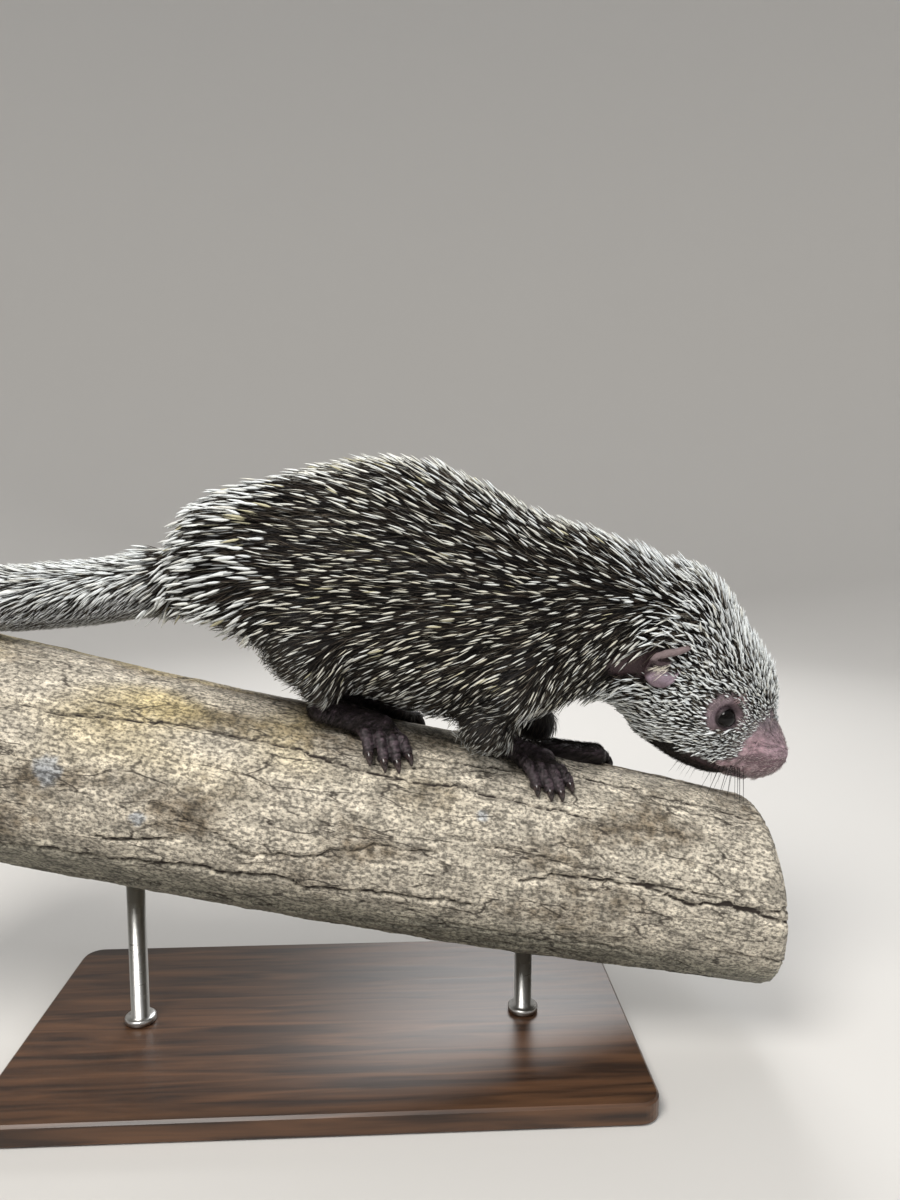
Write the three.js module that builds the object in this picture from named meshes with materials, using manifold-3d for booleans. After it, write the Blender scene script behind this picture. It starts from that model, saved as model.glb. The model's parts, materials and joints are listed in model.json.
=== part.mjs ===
// A life-size prehensile-tailed porcupine standing on a sloping log, nose down,
// with its tail laid along the log and over its far side.
// The log is carried by a plain display stand: a flat base and two rods.
//
// Units are millimetres. Everything on the log is laid out with the log level:
// x runs along the log towards the head, y to the animal's left and z up from the log's axis.
// The log and all it carries are then tilted together and set above the base.
// The solids of the body show its outline out to the tips of the coat.

import * as THREE from "three";
import { mergeVertices } from "three/addons/utils/BufferGeometryUtils.js";
import Module from "manifold-3d";

const wasm = await Module();
wasm.setup();

const DEG = Math.PI / 180;
// Neighbouring solids stand this far apart.
const GAP = 0.3;
const CURVE_DIVISIONS = 400;
const ELLIPSOID_SIDES = 9;
const ELLIPSOID_RINGS = 6;

// The log.
const LOG_SLOPE = 12.3 * DEG;
const LOG_LEFT_END = -400;
const LOG_RIGHT_END = 242;
const LOG_LEFT_RADIUS = 69;
const LOG_RIGHT_RADIUS = 61.3;
const LOG_LUMP = 1.1;
const LOG_LUMP_REACH = [61, 37];
const LOG_LUMP_SHARE = 0.6;
const LOG_BELLY = 7;
const LOG_SIDES = 24;
const LOG_RINGS = 10;
const RIGHT_CUT_SLANT = 13.5 * DEG;
const RIGHT_CUT_REACH = 90;
const LOG_EDGE_WEAR = 5;
const LOG_EDGE_DROP = 3.5;

// The stand. The base is centred below the weight of animal and log together.
const BASE_LENGTH = 400;
const BASE_WIDTH = 200;
const BASE_THICKNESS = 14;
const BASE_CORNER = 12;
const BASE_EDGE = 1.5;
const ROD_RADIUS = 6;
const ROD_SIDES = 16;
const ROD_SPREAD = 260;
const BALANCE_X = -51;
const LOG_AXIS_HEIGHT = 150;

// The body is one form from rump to muzzle, given at named stations.
// Each is [x, y, z, half height, half width, lean of the section in degrees].
const BODY = {
  rumpEnd: [-185, 0, 147, 46, 50, 0],
  rump: [-156, 0, 150, 50, 54, 0],
  hips: [-121, 0, 154, 60.5, 63, 0],
  loin: [-79, 0, 157, 75, 70, 0],
  back: [-42, 0, 158, 82, 72, 0],
  ribs: [0, 0, 153, 81.5, 70, 0],
  shoulder: [42, 0, 150, 73, 65, 2],
  chest: [79, 0, 154, 67, 58, 5],
  neck: [110, 0, 160, 57, 52, 16],
  ear: [135, 0, 157, 55.5, 49, 28],
  cheek: [159, 0, 138, 52, 46, 28],
  eye: [186, 0, 119, 45.5, 39.5, 28],
  muzzle: [208, 0, 104, 34, 31, 28],
};
const RUMP_ROUND = 30;
const BODY_SQUARENESS = 2.15;
const BODY_SIDES = 26;
const BODY_RING_STEP = 12;
const NECK_START = "chest";
const HEAD_START_BEFORE_EAR = 12;

// The bare nose with the upper lip and the chin below it.
const NOSE = {
  root: [208.6, 0, 102, 29.6, 26, 28],
  bridge: [213, 0, 99.4, 28, 25, 27],
  bulb: [222, 0, 97, 23.3, 23.5, 22],
  tip: [241.5, 0, 93, 16.5, 18, 16],
};
const NOSE_ROUND = 14;
const NOSE_SIDES = 16;
const NOSE_RING_STEP = 8;
const NOSE_SQUARENESS = 2.1;
const NOSTRIL_AT = [239.5, 7, 97];
const NOSTRIL_HALF = [4, 2.2, 2.8];

const EYE_RADIUS = 5.9;
const EYE_AT = [180, 34.6, 119];
const LID_HOLLOW = [13, 4.2, 9.5];
const LID_HOLLOW_OUT = 40.2;

const EAR_AT = [131, 47.5, 148];
const EAR_HALF = [12.5, 5.5, 10];
const EAR_TILT = 32 * DEG;
const EAR_FLARE = 14 * DEG;
const EAR_CUP = 0.72;
const EAR_CUP_OUT = 3.4;

// The tail: first free in the air, then lying on the log, then hanging down its far side
// with the tip curled upwards. Stations in the air are [x, y, z, radius].
const TAIL_ROOT = [
  [-168, 0, 131, 28],
  [-199, 0, 121.5, 25.2],
  [-223, 0, 111.5, 23.8],
  [-251, 0, 103, 23.6],
  [-283, 0, 94, 23.2],
];
// Stations on the log are [x, degrees round the log from its top, radius].
const TAIL_ON_LOG = [
  [-314, 3, 22.2],
  [-340, 13, 20.8],
  [-360, 32, 19],
  [-367, 56, 17.2],
  [-366, 79, 15.5],
];
const TAIL_CURL = [
  [-360, 88, -12, 14],
  [-352.5, 89.5, -36, 12.4],
  [-345, 97.5, -54, 11],
  [-338.5, 113, -60, 9.6],
  [-334, 126.5, -50, 8.3],
  [-332, 129.5, -35, 7],
];
const TAIL_REST = 1.0;
const TAIL_SIDES = 11;
const TAIL_RING_STEP = 12.5;
const TAIL_TIP_RING_STEP = 10;
const TAIL_BASE_LENGTH = 130;
const TAIL_MID_LENGTH = 150;
const TAIL_TIP_ROUND = 8;

// Limbs: [x, out from the middle, z, radius], from the body down.
// The left foreleg reaches further forward than the right one.
const FORELEG_RIGHT = {
  upper: [[62, 26, 148, 27], [42, 40, 122, 30], [24, 47, 96, 24]],
  lower: [[17, 48, 91, 21], [35, 38, 83, 17.5], [50, 25, 77, 12.5]],
};
const FORELEG_LEFT = {
  upper: [[68, 26, 148, 27], [56, 40, 122, 28], [44, 46, 94, 23]],
  lower: [[42, 47, 88, 21], [66, 38, 80, 19], [92, 28, 75, 16]],
};
const HINDLEG = {
  upper: [[-108, 26, 148, 34], [-90, 37, 122, 35.5], [-62, 46, 102, 30]],
  lower: [[-60, 46, 102, 28], [-76, 37, 97, 26], [-85, 30, 92, 21.5]],
};
const LIMB_SIDES = 11;
const LIMB_RING_STEP = 16;
// How far a length's round ends reach, as shares of its radius there.
const LIMB_TOP_ROUND = 0.7;
const LIMB_END_ROUND = 0.5;
const LEFT_FOREFOOT_FORWARD = 45;
const LEFT_HINDLEG_FORWARD = 10;

// Feet are laid out on the log: [x, degrees from its top, height of the middle over the bark].
// The sole runs forward along the top and the toes turn outwards and down the side.
const FOREFOOT = {
  sole: [[44, 15, 11], [58, 19, 9], [78, 24, 7.5]],
  halfWidth: 12,
  halfHeight: 7,
  rootAngle: 25,
  toeRoots: [62, 70, 78, 83],
  toeTips: [70.5, 79, 86, 92],
  toeAngles: [37, 38, 37, 31],
  claws: [73, 82, 89, 95.5],
  clawAngles: [44, 45, 44, 37],
  toeRadius: 3.3,
};
const HINDFOOT = {
  sole: [[-72, 20, 12.5], [-52, 21, 9], [-28, 25, 7]],
  halfWidth: 13.5,
  halfHeight: 7.4,
  rootAngle: 27,
  toeRoots: [-42, -33, -25, -19],
  toeTips: [-36, -26.5, -18.5, -12],
  toeAngles: [38, 40, 39, 34],
  claws: [-33, -23, -14.5, -7.5],
  clawAngles: [46, 48, 47, 41],
  toeRadius: 3.6,
};
const SOLE_ROUND = 9;
const SOLE_RING_STEP = 14;
const SOLE_SIDES = 9;
// A toe starts a little behind and above its root, inside the sole.
const TOE_ROOT_BACK = 3;
const TOE_ROOT_ABOVE = 5;
// Heights of a toe's root, knuckle and tip over the bark, beyond its own radius.
const TOE_HEIGHTS = [2, 4.5, 0.6];
const TOE_TAPER = 0.9;
const TOE_ROUND = 3.4;
const TOE_RING_STEP = 9;
const TOE_SIDES = 6;
// Claw stations: [share of the way from toe to point, height over the bark, radius].
// The first two heights are beyond the toe's radius.
const CLAW_ROOT = [0.1, 0.5, 2.3];
const CLAW_MIDDLE = [0.55, 0.6, 1.9];
const CLAW_POINT = [1, 1.4, 0.5];
const CLAW_SIDES = 5;
const CLAW_RING_STEP = 4;

const COLOURS = {
  quills: 0x4a4744,
  tailQuills: 0x77736d,
  skin: 0x4a3a3c,
  nose: 0xb98a88,
  ear: 0x7a5f62,
  eye: 0x0b0a0a,
  claw: 0x2b2422,
  bark: 0x9c8b74,
  standWood: 0x3a302a,
  standMetal: 0x8c8f92,
};

const lerp = THREE.MathUtils.lerp;

// Solids are joined and cut as closed meshes.
function toSolid(geometry) {
  const bare = geometry.clone();
  bare.deleteAttribute("normal");
  bare.deleteAttribute("uv");
  const welded = mergeVertices(bare, 1e-4);
  return new wasm.Manifold(new wasm.Mesh({
    numProp: 3,
    vertProperties: new Float32Array(welded.attributes.position.array),
    triVerts: new Uint32Array(welded.index.array),
  }));
}

function toGeometry(solid) {
  const mesh = solid.getMesh();
  const geometry = new THREE.BufferGeometry();
  geometry.setAttribute("position", new THREE.BufferAttribute(mesh.vertProperties, 3));
  geometry.setIndex(new THREE.BufferAttribute(mesh.triVerts, 1));
  return geometry;
}

// The log's radius at x, without its lumps.
function logRadius(x) {
  return THREE.MathUtils.mapLinear(
    x, LOG_LEFT_END, LOG_RIGHT_END, LOG_LEFT_RADIUS, LOG_RIGHT_RADIUS);
}

// What slow lumps round and along the log, and its fuller underside, add to its radius.
function logLump(x, angle) {
  const [slowReach, quickReach] = LOG_LUMP_REACH;
  const slow = Math.sin(2 * angle + x / slowReach);
  const quick = Math.sin(3 * angle - x / quickReach);
  const lump = (slow + LOG_LUMP_SHARE * quick) / (1 + LOG_LUMP_SHARE);
  const along = (x - LOG_LEFT_END) / (LOG_RIGHT_END - LOG_LEFT_END);
  const below = Math.max(0, -Math.cos(angle));
  return LOG_LUMP * lump + LOG_BELLY * below * Math.sin(Math.PI * along);
}

// A point over the bark, at an angle from the top of the log. Side is 1 for the animal's left.
function overLog(x, degrees, height, side) {
  const angle = degrees * DEG;
  const reach = logRadius(x) + height;
  return [x, side * reach * Math.sin(angle), reach * Math.cos(angle)];
}

// Distances along a form at which its rings stand: close together on a round end.
function ringDistances(from, to, startRound, endRound, step, capRings) {
  const list = [{ at: from, scale: 0 }];
  if (startRound > 0) {
    for (let i = 1; i < capRings; i += 1) {
      const turn = (Math.PI / 2) * i / capRings;
      list.push({ at: from + startRound * (1 - Math.cos(turn)), scale: Math.sin(turn) });
    }
  }
  const first = from + startRound;
  const last = to - endRound;
  const count = Math.max(1, Math.round((last - first) / step));
  for (let i = 0; i <= count; i += 1) {
    list.push({ at: lerp(first, last, i / count), scale: 1 });
  }
  if (endRound > 0) {
    for (let i = capRings - 1; i > 0; i -= 1) {
      const turn = (Math.PI / 2) * i / capRings;
      list.push({ at: to - endRound * (1 - Math.cos(turn)), scale: Math.sin(turn) });
    }
  }
  list.push({ at: to, scale: 0 });
  return list;
}

// A closed form along a line of stations [x, y, z, half height, half width, lean].
// Its skin is a sphere whose rings are moved onto the line.
// Grow makes the whole form that much fatter, for cutting its neighbours clear of it.
function loft(stations, options) {
  const settings = {
    from: 0, to: Infinity, startRound: 0, endRound: 0, step: 10, sides: 12,
    capRings: 4, squareness: 2, grow: 0, side: [0, 1, 0], ...options,
  };
  const points = stations.map((s) => new THREE.Vector3(s[0], s[1], s[2]));
  const sizes = stations.map((s) => new THREE.Vector3(s[3], s[4] ?? s[3], s[5] ?? 0));
  const leaning = stations.some((s) => s[5] !== undefined);
  const line = new THREE.CatmullRomCurve3(points, false, "centripetal");
  const sizeLine = new THREE.CatmullRomCurve3(sizes, false, "catmullrom", 0.5);
  line.arcLengthDivisions = CURVE_DIVISIONS;
  const length = line.getLength();
  const to = Math.min(settings.to, length);
  const rings = ringDistances(
    settings.from, to, settings.startRound, settings.endRound, settings.step,
    settings.capRings);

  const shape = new THREE.SphereGeometry(1, settings.sides, rings.length - 1);
  const position = shape.attributes.position;
  const side = new THREE.Vector3(...settings.side);
  const centre = new THREE.Vector3();
  const spot = new THREE.Vector3();
  rings.forEach((ring, row) => {
    const u = Math.min(1, Math.max(0, ring.at / length));
    const t = line.getUtoTmapping(u);
    const size = sizeLine.getPoint(t);
    const ahead = leaning
      ? new THREE.Vector3(Math.cos(size.z * DEG), 0, -Math.sin(size.z * DEG))
      : line.getTangent(t);
    side.addScaledVector(ahead, -side.dot(ahead)).normalize();
    const up = new THREE.Vector3().crossVectors(ahead, side);
    centre.copy(line.getPoint(t));
    if (row === 0 || (ring.scale < 1 && row < rings.length / 2)) {
      centre.addScaledVector(ahead, -settings.grow);
    } else if (ring.scale < 1) {
      centre.addScaledVector(ahead, settings.grow);
    }
    const high = ring.scale === 0 ? 0 : size.x * ring.scale + settings.grow;
    const wide = ring.scale === 0 ? 0 : size.y * ring.scale + settings.grow;
    for (let column = 0; column <= settings.sides; column += 1) {
      const turn = 2 * Math.PI * (column % settings.sides) / settings.sides;
      const power = 2 / settings.squareness;
      const across = -Math.sign(Math.cos(turn)) * Math.abs(Math.cos(turn)) ** power;
      const upward = Math.sign(Math.sin(turn)) * Math.abs(Math.sin(turn)) ** power;
      spot.copy(centre).addScaledVector(side, across * wide).addScaledVector(up, upward * high);
      position.setXYZ(row * (settings.sides + 1) + column, spot.x, spot.y, spot.z);
    }
  });
  return toSolid(shape);
}

// How far along a line of stations the named one lies.
function distanceTo(stations, index) {
  const points = stations.map((s) => new THREE.Vector3(s[0], s[1], s[2]));
  const line = new THREE.CatmullRomCurve3(points, false, "centripetal");
  line.arcLengthDivisions = CURVE_DIVISIONS;
  const lengths = line.getLengths();
  return lengths[Math.round(CURVE_DIVISIONS * index / (stations.length - 1))];
}

function ellipsoid(at, half, turnAboutY = 0, turnAboutZ = 0) {
  const shape = new THREE.SphereGeometry(1, ELLIPSOID_SIDES, ELLIPSOID_RINGS);
  shape.scale(half[0], half[1], half[2]);
  shape.rotateZ(turnAboutZ);
  shape.rotateY(turnAboutY);
  shape.translate(at[0], at[1], at[2]);
  return toSolid(shape);
}

// The log: a cylinder with slow lumps and worn edges, its right end sawn upright.
function buildLog(grow = 0) {
  const shape = new THREE.CylinderGeometry(1, 1, 1, LOG_SIDES, LOG_RINGS);
  const position = shape.attributes.position;
  for (let i = 0; i < position.count; i += 1) {
    const along = 0.5 - position.getY(i);
    const across = position.getX(i);
    const upward = position.getZ(i);
    const angle = Math.atan2(across, upward);
    const rim = Math.hypot(across, upward) > 0.5 ? 1 : 0;
    const ringFromEnd = Math.round(Math.min(along, 1 - along) * LOG_RINGS);
    const atEnd = ringFromEnd === 0;
    const nextToEnd = ringFromEnd === 1;
    let x = lerp(LOG_LEFT_END, LOG_RIGHT_END, along);
    if (nextToEnd) {
      x = along < 0.5 ? LOG_LEFT_END + LOG_EDGE_WEAR : LOG_RIGHT_END - LOG_EDGE_WEAR;
    }
    const wear = atEnd ? LOG_EDGE_DROP : 0;
    const radius = rim * (logRadius(x) + logLump(x, angle) - wear + grow);
    const slantFrom = LOG_RIGHT_END - RIGHT_CUT_REACH;
    const rightness = THREE.MathUtils.smoothstep(x, slantFrom, LOG_RIGHT_END);
    const height = radius * Math.cos(angle);
    x -= height * Math.tan(RIGHT_CUT_SLANT) * rightness;
    if (grow > 0 && atEnd) {
      x += along < 0.5 ? -grow : grow;
    }
    position.setXYZ(i, x, radius * Math.sin(angle), height);
  }
  return toSolid(shape);
}

const bodyStations = Object.values(BODY);
const bodyNames = Object.keys(BODY);
const stationAt = (name) => distanceTo(bodyStations, bodyNames.indexOf(name));

function bodyForm(from, to, grow = 0) {
  return loft(bodyStations, {
    from, to, grow,
    startRound: from === 0 ? RUMP_ROUND : 0,
    step: BODY_RING_STEP,
    sides: BODY_SIDES,
    squareness: BODY_SQUARENESS,
  });
}

function buildBody() {
  const neckFrom = stationAt(NECK_START);
  const headFrom = stationAt("ear") - HEAD_START_BEFORE_EAR;
  const trunk = bodyForm(0, neckFrom);
  const neck = bodyForm(neckFrom + GAP, headFrom);
  let head = bodyForm(headFrom + GAP, Infinity);
  const whole = bodyForm(0, neckFrom + GAP, GAP)
    .add(bodyForm(neckFrom, headFrom + GAP, GAP))
    .add(bodyForm(headFrom, Infinity, GAP));
  const eyes = {};
  for (const side of [-1, 1]) {
    const at = [EYE_AT[0], side * EYE_AT[1], EYE_AT[2]];
    const hollowAt = [EYE_AT[0], side * LID_HOLLOW_OUT, EYE_AT[2]];
    head = head.subtract(ellipsoid(hollowAt, LID_HOLLOW, LOG_SLOPE));
    head = head.subtract(ellipsoid(at, [1, 1, 1].map(() => EYE_RADIUS + GAP)));
    eyes[side] = ellipsoid(at, [1, 1, 1].map(() => EYE_RADIUS));
  }
  return { trunk, neck, head, whole, eyes };
}

// The nose bulb with two round nostrils that open forwards and outwards.
function buildNose() {
  let nose = loft(Object.values(NOSE), {
    endRound: NOSE_ROUND,
    step: NOSE_RING_STEP,
    sides: NOSE_SIDES,
    squareness: NOSE_SQUARENESS,
  });
  for (const side of [-1, 1]) {
    const at = [NOSTRIL_AT[0], side * NOSTRIL_AT[1], NOSTRIL_AT[2]];
    nose = nose.subtract(ellipsoid(at, NOSTRIL_HALF));
  }
  return nose;
}

// An ear is a small cupped flap that stands off the side of the head.
function buildEar(side, body) {
  const at = [EAR_AT[0], side * EAR_AT[1], EAR_AT[2]];
  const cupAt = [at[0], side * (EAR_AT[1] + EAR_CUP_OUT), at[2]];
  const cupHalf = EAR_HALF.map((half) => half * EAR_CUP);
  return ellipsoid(at, EAR_HALF, -EAR_TILT, -side * EAR_FLARE)
    .subtract(body)
    .subtract(ellipsoid(cupAt, cupHalf, -EAR_TILT, -side * EAR_FLARE));
}

function buildTail(body, log) {
  const stations = [
    ...TAIL_ROOT,
    ...TAIL_ON_LOG.map(([x, degrees, radius]) => [
      ...overLog(x, degrees, radius + TAIL_REST, 1), radius]),
    ...TAIL_CURL,
  ];
  const common = { step: TAIL_RING_STEP, sides: TAIL_SIDES };
  const midFrom = TAIL_BASE_LENGTH;
  const tipFrom = TAIL_BASE_LENGTH + TAIL_MID_LENGTH;
  const base = loft(stations, { ...common, to: midFrom });
  const mid = loft(stations, { ...common, from: midFrom + GAP, to: tipFrom });
  const tip = loft(stations, {
    ...common, from: tipFrom + GAP, endRound: TAIL_TIP_ROUND, step: TAIL_TIP_RING_STEP,
  });
  return {
    tail_base: base.subtract(body).subtract(log),
    tail_mid: mid.subtract(log),
    tail_tip: tip.subtract(log),
  };
}

// A leg is an upper and a lower length joined at the elbow or knee.
function legForm(leg, side, forward, grow = 0) {
  const place = ([x, out, z, radius]) => [x + forward, side * out, z, radius];
  const lengths = [leg.upper, leg.lower].map((part) => loft(part.map(place), {
    startRound: part[0][3] * LIMB_TOP_ROUND,
    endRound: part[2][3] * LIMB_END_ROUND,
    step: LIMB_RING_STEP,
    capRings: 3,
    sides: LIMB_SIDES,
    grow,
  }));
  return lengths[0].add(lengths[1]);
}

// A foot is a flat sole on the log with four toes that curl over its side.
function footForm(foot, side, forward) {
  const across = overLog(0, foot.rootAngle, 0, side);
  const alongBark = [0, across[2], -across[1]];
  const soleStations = foot.sole.map(([x, degrees, height]) => [
    ...overLog(x + forward, degrees, height, side), foot.halfHeight, foot.halfWidth]);
  let form = loft(soleStations, {
    startRound: SOLE_ROUND,
    endRound: SOLE_ROUND,
    step: SOLE_RING_STEP,
    capRings: 3,
    sides: SOLE_SIDES,
    side: alongBark,
  });
  const radius = foot.toeRadius;
  const [rootHeight, knuckleHeight, tipHeight] = TOE_HEIGHTS.map((height) => height + radius);
  foot.toeRoots.forEach((root, i) => {
    const tip = foot.toeTips[i];
    const tipAngle = foot.toeAngles[i];
    const knuckleAngle = lerp(foot.rootAngle, tipAngle, 0.5);
    const rootX = root - TOE_ROOT_BACK + forward;
    const knuckleX = lerp(root, tip, 0.5) + forward;
    const stations = [
      [...overLog(rootX, foot.rootAngle - TOE_ROOT_ABOVE, rootHeight, side), radius],
      [...overLog(knuckleX, knuckleAngle, knuckleHeight, side), radius],
      [...overLog(tip + forward, tipAngle, tipHeight, side), radius * TOE_TAPER],
    ];
    form = form.add(loft(stations, {
      endRound: TOE_ROUND, step: TOE_RING_STEP, capRings: 2, sides: TOE_SIDES,
    }));
  });
  return form;
}

// Claws are short curved cones that carry on from just past the toes down to the bark.
function clawForm(foot, index, side, forward) {
  const tip = foot.toeTips[index];
  const claw = foot.claws[index];
  const station = ([share, height, radius], base) => [
    ...overLog(
      lerp(tip, claw, share) + forward,
      lerp(foot.toeAngles[index], foot.clawAngles[index], share),
      base + height,
      side),
    radius,
  ];
  const stations = [
    station(CLAW_ROOT, foot.toeRadius),
    station(CLAW_MIDDLE, foot.toeRadius),
    station(CLAW_POINT, 0),
  ];
  return loft(stations, { step: CLAW_RING_STEP, sides: CLAW_SIDES });
}

function buildLimbs(body, log) {
  const limbs = {};
  for (const [sideName, side] of [["right", -1], ["left", 1]]) {
    for (const kind of ["fore", "hind"]) {
      const fore = kind === "fore";
      const foreleg = side > 0 ? FORELEG_LEFT : FORELEG_RIGHT;
      const leg = fore ? foreleg : HINDLEG;
      const foot = fore ? FOREFOOT : HINDFOOT;
      const step = fore ? LEFT_FOREFOOT_FORWARD : LEFT_HINDLEG_FORWARD;
      const forward = side > 0 ? step : 0;
      const legForward = fore ? 0 : forward;
      const legSolid = legForm(leg, side, legForward).subtract(body).subtract(log);
      const legClear = legForm(leg, side, legForward, GAP);
      const footSolid = footForm(foot, side, forward)
        .subtract(legClear).subtract(body).subtract(log);
      limbs[`${kind}leg_${sideName}`] = legSolid;
      limbs[`${kind}foot_${sideName}`] = footSolid;
      foot.toeRoots.forEach((root, i) => {
        limbs[`claw_${kind}_${sideName}_${i + 1}`] = clawForm(foot, i, side, forward);
      });
    }
  }
  return limbs;
}

// Tilt with the log and lift to its height over the floor, measured from the base's middle.
function setOnStand(geometry) {
  geometry.rotateY(LOG_SLOPE);
  geometry.translate(-BALANCE_X, 0, LOG_AXIS_HEIGHT);
  return geometry;
}

function buildBase() {
  const halfLength = BASE_LENGTH / 2 - BASE_EDGE;
  const halfWidth = BASE_WIDTH / 2 - BASE_EDGE;
  const outline = new THREE.Shape();
  const corner = BASE_CORNER;
  outline.moveTo(-halfLength + corner, -halfWidth);
  outline.lineTo(halfLength - corner, -halfWidth);
  outline.absarc(halfLength - corner, -halfWidth + corner, corner, -Math.PI / 2, 0);
  outline.absarc(halfLength - corner, halfWidth - corner, corner, 0, Math.PI / 2);
  outline.absarc(-halfLength + corner, halfWidth - corner, corner, Math.PI / 2, Math.PI);
  outline.absarc(-halfLength + corner, -halfWidth + corner, corner, Math.PI, 1.5 * Math.PI);
  const plate = new THREE.ExtrudeGeometry(outline, {
    depth: BASE_THICKNESS - 2 * BASE_EDGE,
    bevelEnabled: true,
    bevelThickness: BASE_EDGE,
    bevelSize: BASE_EDGE,
    bevelSegments: 1,
    curveSegments: 4,
  });
  plate.translate(0, 0, BASE_EDGE);
  return toSolid(plate);
}

// A rod stands on the base and its top is cut to the underside of the log.
function buildRod(x, logOnStand) {
  const height = LOG_AXIS_HEIGHT - BASE_THICKNESS;
  const rod = new THREE.CylinderGeometry(ROD_RADIUS, ROD_RADIUS, height, ROD_SIDES);
  rod.rotateX(Math.PI / 2);
  rod.translate(x, 0, BASE_THICKNESS + GAP + height / 2);
  return toSolid(rod).subtract(logOnStand);
}

function build() {
  const log = buildLog();
  const logClear = buildLog(GAP);
  const body = buildBody();
  const bodyParts = {
    trunk: body.trunk,
    neck: body.neck,
    head: body.head,
    nose: buildNose(),
    ear_right: buildEar(-1, body.whole),
    ear_left: buildEar(1, body.whole),
    eye_right: body.eyes[-1],
    eye_left: body.eyes[1],
    ...buildTail(body.whole, logClear),
    ...buildLimbs(body.whole, logClear),
    log_perch: log,
  };
  const parts = {};
  for (const [name, solid] of Object.entries(bodyParts)) {
    parts[name] = setOnStand(toGeometry(solid));
  }
  const logOnStand = toSolid(setOnStand(toGeometry(logClear)));
  parts.stand_base = toGeometry(buildBase());
  parts.stand_rod_low = toGeometry(buildRod(ROD_SPREAD / 2, logOnStand));
  parts.stand_rod_high = toGeometry(buildRod(-ROD_SPREAD / 2, logOnStand));
  return parts;
}

function colourOf(name) {
  if (name.startsWith("claw")) return COLOURS.claw;
  if (name.startsWith("eye")) return COLOURS.eye;
  if (name.startsWith("ear")) return COLOURS.ear;
  if (name.startsWith("tail")) return COLOURS.tailQuills;
  if (name.includes("foot")) return COLOURS.skin;
  if (name === "nose") return COLOURS.nose;
  if (name === "log_perch") return COLOURS.bark;
  if (name === "stand_base") return COLOURS.standWood;
  if (name.startsWith("stand_rod")) return COLOURS.standMetal;
  return COLOURS.quills;
}

const porcupine = new THREE.Group();
porcupine.name = "porcupine_on_log";
for (const [name, geometry] of Object.entries(build())) {
  geometry.computeVertexNormals();
  const material = new THREE.MeshStandardMaterial({ color: colourOf(name), roughness: 0.7 });
  const mesh = new THREE.Mesh(geometry, material);
  mesh.name = name;
  porcupine.add(mesh);
}

export default porcupine;
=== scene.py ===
import json
import math

import bpy
import numpy as np
from mathutils import Euler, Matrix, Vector, noise
from mathutils.bvhtree import BVHTree
from mathutils.kdtree import KDTree

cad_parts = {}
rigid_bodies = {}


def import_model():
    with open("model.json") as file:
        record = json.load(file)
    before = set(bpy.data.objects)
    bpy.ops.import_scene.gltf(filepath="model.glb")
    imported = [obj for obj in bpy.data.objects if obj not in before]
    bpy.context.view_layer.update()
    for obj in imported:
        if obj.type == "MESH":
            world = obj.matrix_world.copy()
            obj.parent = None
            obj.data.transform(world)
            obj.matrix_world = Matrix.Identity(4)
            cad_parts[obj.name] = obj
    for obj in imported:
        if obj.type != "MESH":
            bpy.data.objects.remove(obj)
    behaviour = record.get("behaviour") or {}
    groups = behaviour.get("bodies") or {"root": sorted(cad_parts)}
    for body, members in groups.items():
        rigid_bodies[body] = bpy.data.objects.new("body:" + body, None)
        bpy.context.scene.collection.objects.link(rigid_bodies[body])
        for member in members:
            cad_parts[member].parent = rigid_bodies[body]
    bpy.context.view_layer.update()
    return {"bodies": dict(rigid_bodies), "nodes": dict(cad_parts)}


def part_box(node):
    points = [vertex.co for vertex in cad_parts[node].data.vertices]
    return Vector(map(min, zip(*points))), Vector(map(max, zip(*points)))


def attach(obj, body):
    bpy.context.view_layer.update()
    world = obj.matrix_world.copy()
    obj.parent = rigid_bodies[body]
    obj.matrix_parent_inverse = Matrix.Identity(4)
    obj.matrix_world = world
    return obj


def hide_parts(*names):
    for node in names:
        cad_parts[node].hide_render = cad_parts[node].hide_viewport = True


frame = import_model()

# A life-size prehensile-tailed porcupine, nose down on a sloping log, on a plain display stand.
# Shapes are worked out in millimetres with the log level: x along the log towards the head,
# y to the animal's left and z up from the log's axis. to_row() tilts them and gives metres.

BODY = list(frame["bodies"])[0]
SEED = 7

# Where the log frame stands in the row frame.
MM = 0.001
SLOPE = math.radians(12.3)
BALANCE = 51.0
AXIS_HEIGHT = 150.0
TILT = np.array([
    [math.cos(SLOPE), 0.0, math.sin(SLOPE)],
    [0.0, 1.0, 0.0],
    [-math.sin(SLOPE), 0.0, math.cos(SLOPE)],
])
SHIFT = np.array([BALANCE, 0.0, AXIS_HEIGHT])

# The camera of the photograph, in millimetres of the row frame.
CAMERA_PLACE = (51.0, -566.4, 358.9)
CAMERA_DOWN = math.radians(6.0)
CAMERA_RIGHT = math.radians(2.9)
CAMERA_LENS = 26.1

# Each light's place and the place it points at, in metres, then its size, power and colour.
LIGHTS = {
    "key": ((-0.5, -0.9, 1.5), (0.0, 0.0, 0.28), 0.8, 26.0, (1.0, 0.97, 0.93)),
    "fill": ((1.2, -1.0, 0.9), (0.0, 0.0, 0.28), 1.2, 12.0, (0.93, 0.96, 1.0)),
    "rim": ((0.3, 1.3, 1.2), (0.0, 0.0, 0.3), 0.9, 16.0, (1.0, 1.0, 1.0)),
}

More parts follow.
